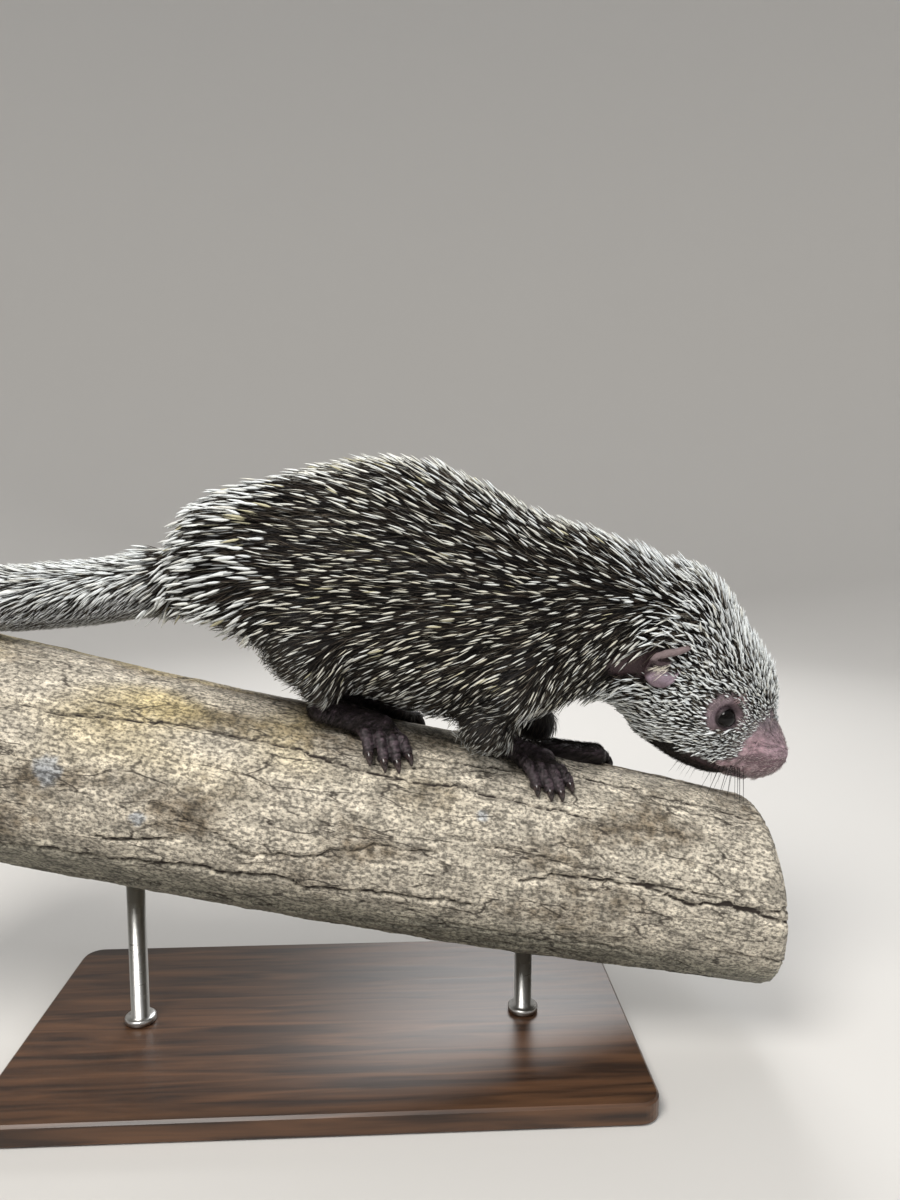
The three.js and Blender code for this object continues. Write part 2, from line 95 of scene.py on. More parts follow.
# Colours are written as seen on a screen, from 0 to 255.
SKIN_DARK = (21, 17, 17)
SKIN_EYE_PATCH = (128, 111, 117)
SKIN_EYE_PATCH_LOW = (88, 73, 74)
SKIN_EYE_CORNER = (192, 160, 164)
SKIN_LID = (40, 33, 35)
SKIN_NOSE = (154, 129, 137)
SKIN_NOSE_SIDE = (198, 163, 172)
SKIN_NOSE_TOP = (120, 108, 114)
SKIN_NOSE_LOW = (84, 67, 76)
SKIN_LIP = (112, 88, 94)
SKIN_LIP_PAD = (184, 154, 160)
SKIN_MOUTH = (58, 36, 40)
SKIN_FOOT = (36, 29, 32)
SKIN_EAR_BACK = (66, 47, 51)
EAR_FOLD = (122, 106, 106)
EAR_LOBE = (156, 138, 150)
# Painted shade in the bowl of the ear.
EAR_BOWL_SHADE = (52, 34, 38)
EAR_TUFT = (232, 224, 208)
# Pale mottling on the toes' backs, kept to their tops as a painted highlight.
SKIN_KNUCKLE_MOTTLE_AND_HIGHLIGHT = (92, 77, 84)
EYE_COLOURS = ((3, 3, 3), (12, 9, 8))
CLAW_COLOURS = ((24, 19, 19), (66, 54, 53))
STAND_WOOD = ((44, 30, 22), (92, 64, 44))
# Where noise shows the first of two colours in full, and where the second.
NOISE_RANGE = (0.35, 0.68)
# These are written as light, from 0 to 1.
STAND_STEEL = (0.56, 0.56, 0.55, 1.0)
FLOOR_COLOUR = (0.6, 0.585, 0.56, 1.0)
SKY_COLOUR = (0.86, 0.88, 0.92, 1.0)
SKY_STRENGTH = 0.55

# Nodes of flesh that the one skin replaces, by the kind of coat they carry.
FLESH = {
    "body": ["trunk", "neck"],
    "head": ["head"],
    "nose": ["nose"],
    "tail": ["tail_base", "tail_mid", "tail_tip"],
    "leg": ["foreleg_right", "foreleg_left", "hindleg_right", "hindleg_left"],
    "foot": ["forefoot_right", "forefoot_left", "hindfoot_right", "hindfoot_left"],
}
KINDS = list(FLESH)
# The forms of flesh grow by this much before they are joined, so that no gap stays between them.
GAP_FILL = 0.4
COARSE_VOXEL = 2.6
FINE_VOXEL = 1.8

EYE_AT = np.array([181.0, 34.5, 118.5])
EYE_OUTWARD = np.array([0.27, 0.95, 0.12])
EYE_LONG = np.array([0.8, 0.0, 0.6])
EYE_HALF_LONG = 6.6
EYE_HALF_HIGH = 5.3
BALL_RADIUS = 6.9
BALL_SUNK = 1.3
LID_THICK = 0.45
LID_FOLD = 0.4
MOUTH_LINE = [(224, 0, 77), (214, 12, 78), (203, 18, 81), (188, 22, 84.5), (170, 25, 88)]
MOUTH_WIDTH = 1.3
MOUTH_DEPTH = 1.8
NOSTRIL_AT = np.array([240.0, 8.0, 97.0])
NOSTRIL_HALF = np.array([5.0, 3.4, 3.0])
NOSE_FOLD = 0.4
# The bridge of the nose, seen from the side, and how far it is flattened there.
NOSE_BRIDGE = (238.0, 111.5)
NOSE_BRIDGE_REACH = 11.0
NOSE_BRIDGE_SINK = 2.8
# Soft pads on the upper lip, seen from the side, and how far they reach and stand out.
LIP_PADS = [(189, 87), (196, 89.5), (204.5, 87), (212, 86)]
LIP_PAD_REACH = 3.0
LIP_PAD_HEIGHT = 0.9
NOSE_FRONT = np.array([243.0, 0.0, 99.0])
# Where the quills end, seen from the side: the bare nose starts at these x, z places, and
# throat, chin and lips lie below these.
NOSE_EDGE = [(198.5, 92), (198.8, 98), (199.4, 106), (202.5, 110), (206.5, 119), (212, 124), (219, 132)]
QUILL_EDGE = [(120, 99), (136, 94), (148, 88.5), (153, 92.5), (162, 93.5), (171, 87), (183, 86.5),
              (188, 89.5), (199, 93.5), (204, 97)]
# In the middle the white quills reach this much further over the nose, ever less up to this
# far on each side.
NOSE_PEAK = 25.0
NOSE_PEAK_HALF = 24.0
# Ovals seen from the side: x and z of the middle, half the length and height, and the tilt.
EYE_PATCH = ((179.8, 120.5), 13.9, 12.8, 0.5)
EYE_CORNER = ((186.5, 133.0), 6.0, 4.0, 0.7)
NOSE_SIDE = ((207.0, 103.0), 12.0, 13.0, 0.0)
BEHIND_EAR = ((116.0, 141.0), 20.0, 11.0, 0.2)
BARE_BY_EAR = [((129.5, 143.5), 12.2, 12.4, 0.3), ((111.0, 140.5), 10.0, 8.5, 0.0)]
WHISKERS = 12
EAR_HAIRS = 34
# The rings that round off the end of a tube, as angles from its rim.
END_TURNS = np.radians([80.0, 55.0, 28.0])

# The ears: points of the rim from its front over the top and back to the lobe, on the right
# side, and how thick the rim is there.
EAR_RIM = [
    (144.5, -43.0, 158.0, 1.6), (140, -47.5, 156.3, 2.2), (134, -49.8, 153.8, 2.5),
    (128, -50.5, 151.6, 2.5), (123, -50.2, 148.8, 2.1), (120.6, -49.0, 144.5, 1.2),
    (119.8, -46.5, 139.5, 0.9), (121.5, -45.0, 134.5, 1.0), (127, -44.0, 130.8, 1.3),
    (134, -43.5, 131.0, 1.3), (139.5, -42.5, 135.5, 1.1), (142.0, -42.0, 142.0, 1.0),
    (144.5, -42.0, 150.0, 1.2),
]
# The small fold below the upper one.
EAR_INNER = [
    (121.5, -49.2, 147.2, 1.4), (124.5, -48.8, 144.9, 1.7), (129.0, -48.0, 145.0, 1.5),
    (133.5, -45.5, 146.0, 1.0), (137.0, -42.0, 147.0, 0.8),
]
EAR_LOBE_PUFF = 1.5
EAR_CENTRE = np.array([134.5, -38.5, 148.0])
EAR_WALL = 1.1
EAR_VOXEL = 0.75

# The log, as it is in the frame.
LOG_LEFT = -400.0
LOG_RIGHT = 242.0
LOG_RADII = (69.0, 61.3)
LOG_LUMP = 1.1
LOG_LUMP_REACH = (61.0, 37.0)
LOG_LUMP_SHARE = 0.6
LOG_BELLY = 7.0
LOG_CUT_REACH = 90.0
LOG_CUT_SLANT = math.radians(13.5)
LOG_COLUMNS = 250
LOG_ROW_STEP = 2.0
LOG_MIDDLE_RADIUS = 65.0
LONG_CRACKS = 15
SHORT_CRACKS = 36
# Beyond this distance in millimetres a crack changes nothing.
CRACK_REACH = 9.0
BARK_PALE = (199, 190, 173)
BARK_YELLOW = (206, 188, 138)
BARK_BROWN = (124, 112, 94)
BARK_GREY = (126, 124, 110)
# Painted shade inside the bark's cracks.
BARK_CRACK_SHADE = (38, 31, 26)
SAWN_WOOD = (182, 162, 130)
SAWN_STAIN = (142, 128, 106)
SAWN_RIM = (92, 74, 56)
# The rings of points on a sawn end, as shares of its radius.
SAWN_SHARES = np.linspace(0.97, 0.03, 34)
LICHEN = (168, 174, 180)
# Where lichens grow: x, degrees from the log's top towards the camera, and radius.
LICHENS = [(-216, 79, 9.0), (-160, 95, 5.0), (40, 60, 4.0), (-90, -70, 7.0), (120, -110, 6.0)]

# The collar of the stand's rods: its radius as a share of the rod's, and its height.
ROD_COLLAR = [(0.0, 0.0), (1.55, 0.0), (1.7, 0.8), (1.7, 3.2), (1.5, 4.2), (1.0, 4.6)]
ROD_SIDES = 48

# The feet are laid out on the log as in the frame: x, degrees from its top, height over the bark.
FOREFOOT = dict(
    sole=[(42, 15, 9.5), (58, 16.5, 7.5), (77, 19, 6)], half_width=8.8, half_height=6.2,
    root_angle=25, toe_roots=[62, 70, 78, 83], toe_tips=[70.5, 79, 86, 92],
    toe_angles=[37, 38, 37, 31], claws=[73, 82, 89, 95.5], claw_angles=[44, 45, 44, 37],
    toe_radius=3.9, left_forward=43.0, left_size=1.2, left_wide=1.3,
    left_sole=[(84, 10, 1.0), (102, 6.5, 2.6), (116, 7.5, 4.4)])
HINDFOOT = dict(
    sole=[(-72, 20, 10.5), (-52, 19.5, 8), (-30, 21, 6)], half_width=10.5, half_height=6.6,
    root_angle=27, toe_roots=[-42, -33, -25, -19], toe_tips=[-36, -26.5, -18.5, -12],
    toe_angles=[38, 40, 39, 34], claws=[-33, -23, -14.5, -7.5], claw_angles=[46, 48, 47, 41],
    toe_radius=3.8, left_forward=10.0, left_size=1.1, left_wide=1.0,
    left_sole=[(-62, 20, 10.5), (-42, 19.5, 8), (-20, 21, 6)])
FOOT_VOXEL = 0.85
TOE_GROOVE = 1.3
TOE_CREASE = 0.5
TOE_CREASE_STEP = 2.6
TOE_LENGTH = 20.0

# The coat.
ROOT_SINK = 0.8
MARCH_STEPS = 3
BAKE_CELLS = 333
BAKE_MARGIN = 0.08
COAT_PIECE_TRIANGLES = 180000
# The nape, seen from the side, and the way from it down the head.
NAPE_AT = (110.0, 160.0)
HEAD_DOWN = (0.883, 0.469)
# On the head the coat streams away from this place above the nose.
HEAD_STREAM_FROM = np.array([236.0, 0.0, 110.0])
TAIL_DROOP = 0.75
TAIL_LINE = [
    [-168, 0, 131], [-199, 0, 121.5], [-223, 0, 111.5], [-251, 0, 103], [-283, 0, 94],
    [-314, 5, 91], [-340, 20, 88], [-360, 47, 75], [-367, 71, 48], [-366, 81, 16],
    [-360, 88, -12], [-352.5, 89.5, -36], [-345, 97.5, -54], [-338.5, 113, -60],
    [-334, 126.5, -50], [-332, 129.5, -35],
]
QUILL_DARK = (17, 15, 15)
QUILL_BROWN = (54, 44, 37)
TIP_WHITE = (236, 240, 240)
TIP_CREAM = (226, 220, 198)
TIP_YELLOW = (202, 196, 164)
TIP_GREY = (196, 198, 198)
HAIR_GREY = (108, 98, 86)
HAIR_SOFT = (186, 180, 178)
WHISKER = (9, 7, 7)
NOSE_HAIR = (222, 204, 202)
# What the coat is like at its typical places, in millimetres. Rise is the slope at which
# quills leave the skin. Stiff is how little they follow the body's curve.
COAT_KINDS = {
    "rump": dict(spacing=5.0, length=35, width=2.2, tip=11.8, height=13.0, stiff=0.34, rise=0.36),
    "back": dict(spacing=4.7, length=31, width=1.5, tip=9.4, height=12.0, stiff=0.18, rise=0.33),
    "flank": dict(spacing=4.3, length=28, width=1.15, tip=8.2, height=9.0, stiff=0.05, rise=0.28),
    "chest": dict(spacing=3.6, length=20, width=0.92, tip=6.2, height=8.0, stiff=0.05, rise=0.30),
    "belly": dict(spacing=5.0, length=16, width=0.8, tip=5.0, height=6.0, stiff=0.0, rise=0.30),
    "leg": dict(spacing=3.0, length=16, width=0.64, tip=4.2, height=6.5, stiff=0.12, rise=0.34),
    "nape": dict(spacing=3.5, length=23, width=1.6, tip=11.5, height=12.5, stiff=0.25, rise=0.45),
    "crown": dict(spacing=2.65, length=17, width=1.85, tip=11.0, height=9.2, stiff=0.42, rise=0.6),
    "brow": dict(spacing=2.0, length=13, width=1.45, tip=10.2, height=6.4, stiff=0.55, rise=0.75),
    "cheek": dict(spacing=2.1, length=9.0, width=1.5, tip=5.6, height=4.6, stiff=0.0, rise=0.36),
    "muzzle": dict(spacing=1.5, length=5.4, width=1.05, tip=4.2, height=2.2, stiff=0.0, rise=0.32),
    "throat": dict(spacing=1.8, length=8.0, width=0.6, tip=3.0, height=3.4, stiff=0.1, rise=0.5),
    "tail_top": dict(spacing=2.25, length=16, width=1.7, tip=11.5, height=5.8, stiff=0.1, rise=0.3),
    "tail_side": dict(spacing=1.9, length=11, width=0.85, tip=6.5, height=4.0, stiff=0.0, rise=0.3),
    "tail_low": dict(spacing=1.7, length=8, width=0.45, tip=5.0, height=2.6, stiff=0.0, rise=0.3),
    "foot": dict(spacing=1.5, length=9, width=0.8, tip=2.0, height=3.4, stiff=0.0, rise=0.4),
}
AREAS = list(COAT_KINDS)
# Quills at least this wide have the first shape, and thinner ones the second. Both have rings at
# the root, on both sides of the edge between dark and pale, and at these shares of the pale tip.
# Swell is how wide the rings and the point are, and zones are where they lie on the bake map.
THICK_FROM = 1.0
QUILL_SHAPES = {
    True: dict(sides=4, edge=0.02, tip=[0.26, 0.54, 0.8],
               swell=[0.5, 0.5, 0.62, 1.0, 0.86, 0.42, 0.0],
               zones=[0.0, 0.5, 0.56, 0.66, 0.8, 0.9, 1.0]),
    False: dict(sides=3, edge=0.03, tip=[0.55],
                swell=[0.6, 0.6, 0.85, 0.85, 0.0],
                zones=[0.0, 0.5, 0.56, 0.8, 1.0]),
}
# The quills stand in two layers: those that reach the top of the coat and are bright, and
# smaller ones deeper in it, their tips darkened as painted shade. Low, high and the shades
# are shares of the full height and colour.
QUILL_LAYERS = [
    dict(count=90000, spacing=1.0, length=1.0, size=1.0, low=0.62, high=1.06, dark=0.74, bright=1.0),
    dict(count=90000, spacing=0.95, length=0.86, size=0.6, low=0.3, high=0.72, dark=0.16, bright=0.55),
]
HAIR_ROOTS = 230000
HAIR_SPACING = 0.5
HAIR_PALE = 0.12
NOSE_HAIR_ROOTS = 16000
# Tufts that stand higher or lie lower than the rest.
RAISED = 0.25
RAISED_SIZE = 11.0
TUFT_TURN = 0.25
TUFT_SIZE = 18.0
FACE_TURN = 0.4
FACE_TUFT_SIZE = 6.0


def to_row(points):
    return (np.asarray(points) @ TILT.T + SHIFT) * MM


def to_log(points):
    return (np.asarray(points) / MM - SHIFT) @ TILT


def unit(vectors):
    length = np.linalg.norm(vectors, axis=-1, keepdims=True)
    return vectors / np.maximum(length, 1e-9)


def ramp(value, start, end):
    share = np.clip((value - start) / (end - start), 0.0, 1.0)
    return share * share * (3.0 - 2.0 * share)


def mix(first, second, share):
    share = np.asarray(share)
    if share.ndim == 1:
        share = share[:, None]
    return first + (second - first) * share


def linear(colour):
    """A screen colour as the light it stands for."""
    value = np.asarray(colour, float) / 255.0
    return np.where(value <= 0.04045, value / 12.92, ((value + 0.055) / 1.055) ** 2.4)


def new_object(name, points, faces):
    """An object from points in the log frame and faces that all have the same number of corners."""
    mesh = bpy.data.meshes.new(name)
    faces = np.asarray(faces, np.int32)
    count, corners = faces.shape
    mesh.vertices.add(len(points))
    mesh.vertices.foreach_set("co", to_row(points).astype(np.float32).ravel())
    mesh.loops.add(count * corners)
    mesh.loops.foreach_set("vertex_index", faces.ravel())
    mesh.polygons.add(count)
    mesh.polygons.foreach_set("loop_start", np.arange(0, count * corners, corners, dtype=np.int32))
    mesh.update(calc_edges=True)
    mesh.validate()
    mesh.shade_smooth()
    made = bpy.data.objects.new(name, mesh)
    bpy.context.scene.collection.objects.link(made)
    return made


def add_colours(mesh, name, colours):
    """One colour for each vertex."""
    attribute = mesh.color_attributes.new(name, "FLOAT_COLOR", "POINT")
    filled = np.ones((len(colours), 4), np.float32)
    filled[:, :3] = colours
    attribute.data.foreach_set("color", filled.ravel())


def mesh_arrays(mesh):
    """Points and triangles of a Blender mesh."""
    points = np.zeros(len(mesh.vertices) * 3, np.float32)
    mesh.vertices.foreach_get("co", points)
    mesh.calc_loop_triangles()
    triangles = np.zeros(len(mesh.loop_triangles) * 3, np.int32)
    mesh.loop_triangles.foreach_get("vertices", triangles)
    return points.reshape(-1, 3).astype(float), triangles.reshape(-1, 3)


def cad_arrays(node):
    """A CAD node's welded points and triangles, in the log frame."""
    points, triangles = mesh_arrays(frame["nodes"][node].data)
    points = to_log(points)
    _, first, back = np.unique(
        np.round(points, 2), axis=0, return_index=True, return_inverse=True)
    triangles = back.reshape(-1)[triangles]
    whole = (triangles[:, 0] != triangles[:, 1]) & (triangles[:, 1] != triangles[:, 2])
    whole &= triangles[:, 0] != triangles[:, 2]
    return points[first], triangles[whole]


def point_normals(points, triangles):
    """The way each point of a surface faces, from the triangles that meet there."""
    corner = points[triangles]
    face = np.cross(corner[:, 1] - corner[:, 0], corner[:, 2] - corner[:, 0])
    normals = np.zeros_like(points)
    for column in range(3):
        np.add.at(normals, triangles[:, column], face)
    return unit(normals)


def joined(parts):
    """Several sets of points and triangles as one."""
    points = np.concatenate([part[0] for part in parts])
    starts = np.cumsum([0] + [len(part[0]) for part in parts[:-1]])
    triangles = np.concatenate([part[1] + start for part, start in zip(parts, starts)])
    return points, triangles


def remeshed(points, triangles, voxel):
    """One closed surface round all the forms, of squares about a voxel across, as triangles."""
    mesh = bpy.data.meshes.new("forms")
    mesh.from_pydata(points.tolist(), [], triangles.tolist())
    forms = bpy.data.objects.new("forms", mesh)
    bpy.context.scene.collection.objects.link(forms)
    change = forms.modifiers.new("remesh", "REMESH")
    change.mode = "VOXEL"
    change.voxel_size = voxel
    graph = bpy.context.evaluated_depsgraph_get()
    arrays = mesh_arrays(forms.evaluated_get(graph).to_mesh())
    bpy.data.objects.remove(forms)
    bpy.data.meshes.remove(mesh)
    return arrays


def edges_of(triangles):
    """The numbers of the two ends of each edge."""
    pairs = np.concatenate([triangles[:, [0, 1]], triangles[:, [1, 2]], triangles[:, [2, 0]]])
    return np.unique(np.sort(pairs, axis=1), axis=0)


def smoothed(values, edges, rounds, share=0.5):
    """Each value moved towards the mean of its neighbours, by a share that may vary."""
    values = np.asarray(values, float)
    share = np.asarray(share, float)
    if share.ndim == 1:
        share = share[:, None]
    count = len(values)
    degree = np.bincount(edges.ravel(), minlength=count).astype(float)
    for _ in range(rounds):
        mean = np.zeros_like(values)
        for column in range(values.shape[1]):
            for here, there in ((0, 1), (1, 0)):
                mean[:, column] += np.bincount(edges[:, here], values[edges[:, there], column], count)
        mean /= np.maximum(degree, 1.0)[:, None]
        values = values + (mean - values) * share
    return values


def turns_of(count):
    """Angles that go once round in even steps."""
    return 2.0 * math.pi * np.arange(count) / count


def squares(starts, count):
    """Squares between neighbouring rings of points. Starts are the numbers of their first points."""
    number = np.arange(count)
    after = (number + 1) % count
    first, second = np.array(starts[:-1])[:, None], np.array(starts[1:])[:, None]
    corners = [first + number, first + after, second + after, second + number]
    return np.stack(corners, axis=2).reshape(-1, 4)


def bands(starts, count):
    """The squares between rings, each as two triangles."""
    return squares(starts, count)[:, [0, 1, 2, 0, 2, 3]].reshape(-1, 3)


def fan(count):
    """Triangles that close a ring of points."""
    number = np.arange(1, count - 1)
    return np.stack([0 * number, number, number + 1], axis=1)


def with_round_end(line, radii, ahead, way):
    """A line with three ever smaller rings before its first point. Way is -1 or 1 along ahead."""
    caps = line[0] + way * ahead[0] * (radii[0] * np.sin(END_TURNS))[:, None]
    small = radii[0] * np.cos(END_TURNS)
    return (np.concatenate([caps, line]), np.concatenate([small, radii]),
            np.concatenate([np.tile(ahead[0], (len(caps), 1)), ahead]))


def refined(points, triangles, inside):
    """Splits each edge whose two ends are inside, and with it the triangles on both its sides."""
    pairs = np.sort(np.stack([triangles, np.roll(triangles, -1, axis=1)], axis=2), axis=2)
    edges, back = np.unique(pairs.reshape(-1, 2), axis=0, return_inverse=True)
    back = back.reshape(-1, 3)
    split = inside[edges[:, 0]] & inside[edges[:, 1]]
    middle = np.full(len(edges), -1)
    middle[split] = len(points) + np.arange(split.sum())
    points = np.concatenate([points, points[edges[split]].mean(axis=1)])
    mids = middle[back]
    count = (mids >= 0).sum(axis=1)
    made = [triangles[count == 0]]
    whole, cut = triangles[count == 3], mids[count == 3]
    a, b, c = whole.T
    ab, bc, ca = cut.T
    for corners in ((a, ab, ca), (ab, b, bc), (ca, bc, c), (ab, bc, ca)):
        made.append(np.stack(corners, axis=1))
    for turn in range(3):
        some = (count == 1) & (mids[:, turn] >= 0)
        a, b, c = np.roll(triangles[some], -turn, axis=1).T
        ab = mids[some, turn]
        made += [np.stack([a, ab, c], axis=1), np.stack([ab, b, c], axis=1)]
        some = (count == 2) & (mids[:, turn] < 0)
        a, b, c = np.roll(triangles[some], -turn, axis=1).T
        _, bc, ca = np.roll(mids[some], -turn, axis=1).T
        made += [np.stack([a, b, bc], axis=1), np.stack([a, bc, ca], axis=1),
                 np.stack([ca, bc, c], axis=1)]
    return points, np.concatenate(made)


def smooth_line(stations, count):
    """A smooth line through the stations, with all their columns, as evenly counted points."""
    stations = np.asarray(stations, float)
    before = np.concatenate([2.0 * stations[:1] - stations[1:2], stations[:-1]])
    after = np.concatenate([stations[1:], 2.0 * stations[-1:] - stations[-2:-1]])
    slope = 0.5 * (after - before)
    place = np.linspace(0.0, len(stations) - 1.0, count)
    first = np.minimum(place.astype(int), len(stations) - 2)
    t = (place - first)[:, None]
    return ((2 * t ** 3 - 3 * t ** 2 + 1) * stations[first]
            + (t ** 3 - 2 * t ** 2 + t) * slope[first]
            + (3 * t ** 2 - 2 * t ** 3) * stations[first + 1]
            + (t ** 3 - t ** 2) * slope[first + 1])


def tube(line, radii, sides, across=(0.0, 0.0, 1.0), wide=1.0, closed=False):
    """A tube round a line. Open lines get round ends. It is wide times as wide as it is high."""
    line = np.asarray(line, float)
    radii = np.asarray(radii, float)
    if closed:
        ahead = unit(np.roll(line, -1, axis=0) - np.roll(line, 1, axis=0))
    else:
        ends = with_round_end(line, radii, unit(np.gradient(line, axis=0)), -1.0)
        ends = with_round_end(*[part[::-1] for part in ends], 1.0)
        line, radii, ahead = [part[::-1] for part in ends]
    side = unit(np.cross(ahead, np.cross(np.tile(across, (len(line), 1)), ahead)))
    high = np.cross(side, ahead)
    angle = turns_of(sides)
    rings = (line[:, None] + radii[:, None, None] * (
        wide * np.cos(angle)[None, :, None] * side[:, None]
        + np.sin(angle)[None, :, None] * high[:, None]))
    starts = sides * np.arange(len(line))
    triangles = bands([*starts, 0] if closed else starts, sides)[:, [0, 2, 1]]
    if not closed:
        caps = [fan(sides), starts[-1] + fan(sides)[:, [0, 2, 1]]]
        triangles = np.concatenate([triangles, *caps])
    return rings.reshape(-1, 3), triangles


def mirrored(points):
    """The points on the left side, or their mirror images there."""
    return points * [1.0, 0.0, 1.0] + np.abs(points) * [0.0, 1.0, 0.0]


def to_the_side(points):
    """0 over the middle of the animal and 1 on its sides."""
    return ramp(np.abs(points[:, 1]), 8.0, 14.0)


def along_surface(directions, normals):
    """Directions turned so that they lie along the surface."""
    return unit(directions - normals * (directions * normals).sum(axis=1, keepdims=True))


def gaps_to_line(points, line):
    """How far each point is from each stretch of a line."""
    line = np.array(line, float)
    start, ahead = line[:-1], line[1:] - line[:-1]
    offset = points[:, None, :] - start[None]
    share = np.clip((offset * ahead).sum(axis=2) / (ahead ** 2).sum(axis=1), 0.0, 1.0)
    return np.linalg.norm(offset - share[..., None] * ahead, axis=2)


def noise_at(points, size, offset=0.0):
    """Smooth noise from -1 to 1, with lumps of about this size."""
    shifted = np.asarray(points) / size + offset
    return np.array([noise.noise(point) for point in shifted.tolist()])


def tree_of(points, triangles):
    return BVHTree.FromPolygons(points.tolist(), triangles.tolist())


def distances(tree, points):
    """How far each point is from the surface that the tree was made of."""
    return np.array([tree.find_nearest(point)[3] for point in points.tolist()])


# Materials.

class Look:
    """A material of shader nodes, each added with its settings and its inputs by name."""

    def __init__(self, name, **gloss):
        self.material = bpy.data.materials.new(name)
        self.material.use_nodes = True
        self.tree = self.material.node_tree
        self.shader = self.tree.nodes["Principled BSDF"]
        self.fill(self.shader, {key.replace("_", " "): value for key, value in gloss.items()})

    def fill(self, node, inputs):
        for name, value in inputs.items():
            if isinstance(value, bpy.types.NodeSocket):
                self.tree.links.new(value, node.inputs[name])
            else:
                node.inputs[name].default_value = value

    def add(self, kind, output, inputs, **settings):
        """Adds a node and gives back its output of this name."""
        node = self.tree.nodes.new("ShaderNode" + kind)
        for name, value in settings.items():
            setattr(node, name, value)
        self.fill(node, inputs)
        return node.outputs[output]

    def finish(self, colour, bump_from=None, strength=0.0, distance=0.0):
        self.fill(self.shader, {"Base Color": colour})
        if bump_from is not None:
            bump = {"Height": bump_from, "Strength": strength, "Distance": distance}
            self.fill(self.shader, {"Normal": self.add("Bump", "Normal", bump)})
        return self.material

    def stored(self, name):
        """What the mesh stores at its vertices under this name."""
        return self.add("Attribute", "Color", {}, attribute_name=name)

    def place(self, **mapping):
        """The place on the object, moved, turned or stretched as given."""
        spot = self.add("TexCoord", "Object", {})
        kind = mapping.pop("vector_type", "POINT")
        if not mapping:
            return spot
        return self.add("Mapping", "Vector", {"Vector": spot, **mapping}, vector_type=kind)

    def noise(self, place, scale, detail, output="Fac", **more):
        inputs = {"Scale": scale, "Detail": detail, **more}
        if place is not None:
            inputs["Vector"] = place
        return self.add("TexNoise", output, inputs)

    def spread(self, socket, low, high, dark, bright):
        """A value from dark to bright, as the socket goes from low to high."""
        return self.add("MapRange", "Result", {
            "Value": socket, "From Min": low, "From Max": high, "To Min": dark, "To Max": bright})

    def shaded(self, colour, shade, factor):
        """The colour times the shade, by a factor."""
        return self.add("Mix", "Result", {"Factor": factor, "A": colour, "B": shade},
                        data_type="RGBA", blend_type="MULTIPLY")

    def covered(self, colour, other, share):
        """The colour with another over it, by a share."""
        return self.add("Mix", "Result", {"Factor": share, "A": colour, "B": (*linear(other), 1.0)},
                        data_type="RGBA")

    def between(self, share, first, second):
        """A colour from the first to the second, as noise goes from its low to its high values."""
        node = self.tree.nodes.new("ShaderNodeValToRGB")
        for element, colour, at in zip(node.color_ramp.elements, (first, second), NOISE_RANGE):
            element.color = (*linear(colour), 1.0)
            element.position = at
        self.fill(node, {"Fac": share})
        return node.outputs["Color"]


def coat_look():
    look = Look("coat", Roughness=0.42, Specular_IOR_Level=0.28)
    return look.finish(look.stored("tint"))


def skin_look():
    """The skin's own colours with a fine grain and small creases."""
    look = Look("skin", Roughness=0.48)
    grain = look.noise(None, 900.0, 5.0)
    colour = look.shaded(look.stored("tint"), look.spread(grain, 0.3, 0.7, 0.55, 1.35), 0.55)
    creases = look.add("TexVoronoi", "Distance", {"Scale": 620.0})
    return look.finish(colour, creases, 0.45, 0.0006)


def mottled_look(name, colours, scale, **gloss):
    """A colour that wanders between two by noise."""
    look = Look(name, **gloss)
    return look.finish(look.between(look.noise(look.place(), scale, 4.0), *colours))


def log_place(look, stretch):
    """Places in the log's own directions, so that patterns get these lengths in millimetres."""
    return look.place(vector_type="TEXTURE", Rotation=(0.0, SLOPE, 0.0),
                      Scale=[length * MM for length in stretch])


def sawn_look():
    """Growth rings round the log's heart, with a fine grain and saw marks."""
    look = Look("sawn_wood", Roughness=0.8)
    place = look.place(vector_type="TEXTURE", Location=SHIFT * MM, Rotation=(0.0, SLOPE, 0.0),
                       Scale=(MM, MM, MM))
    rings = look.add("TexWave", "Fac", {
        "Vector": place, "Scale": 0.11, "Distortion": 2.2, "Detail": 3.0, "Detail Scale": 0.35,
    }, wave_type="RINGS", rings_direction="X")
    grain = look.noise(place, 0.9, 4.0)
    colour = look.stored("tint")
    for source, dark in ((rings, 0.62), (grain, 0.7)):
        colour = look.shaded(colour, look.spread(source, 0.25, 0.75, dark, 1.08), 0.9)
    return look.finish(colour, grain, 0.5, 0.0005)


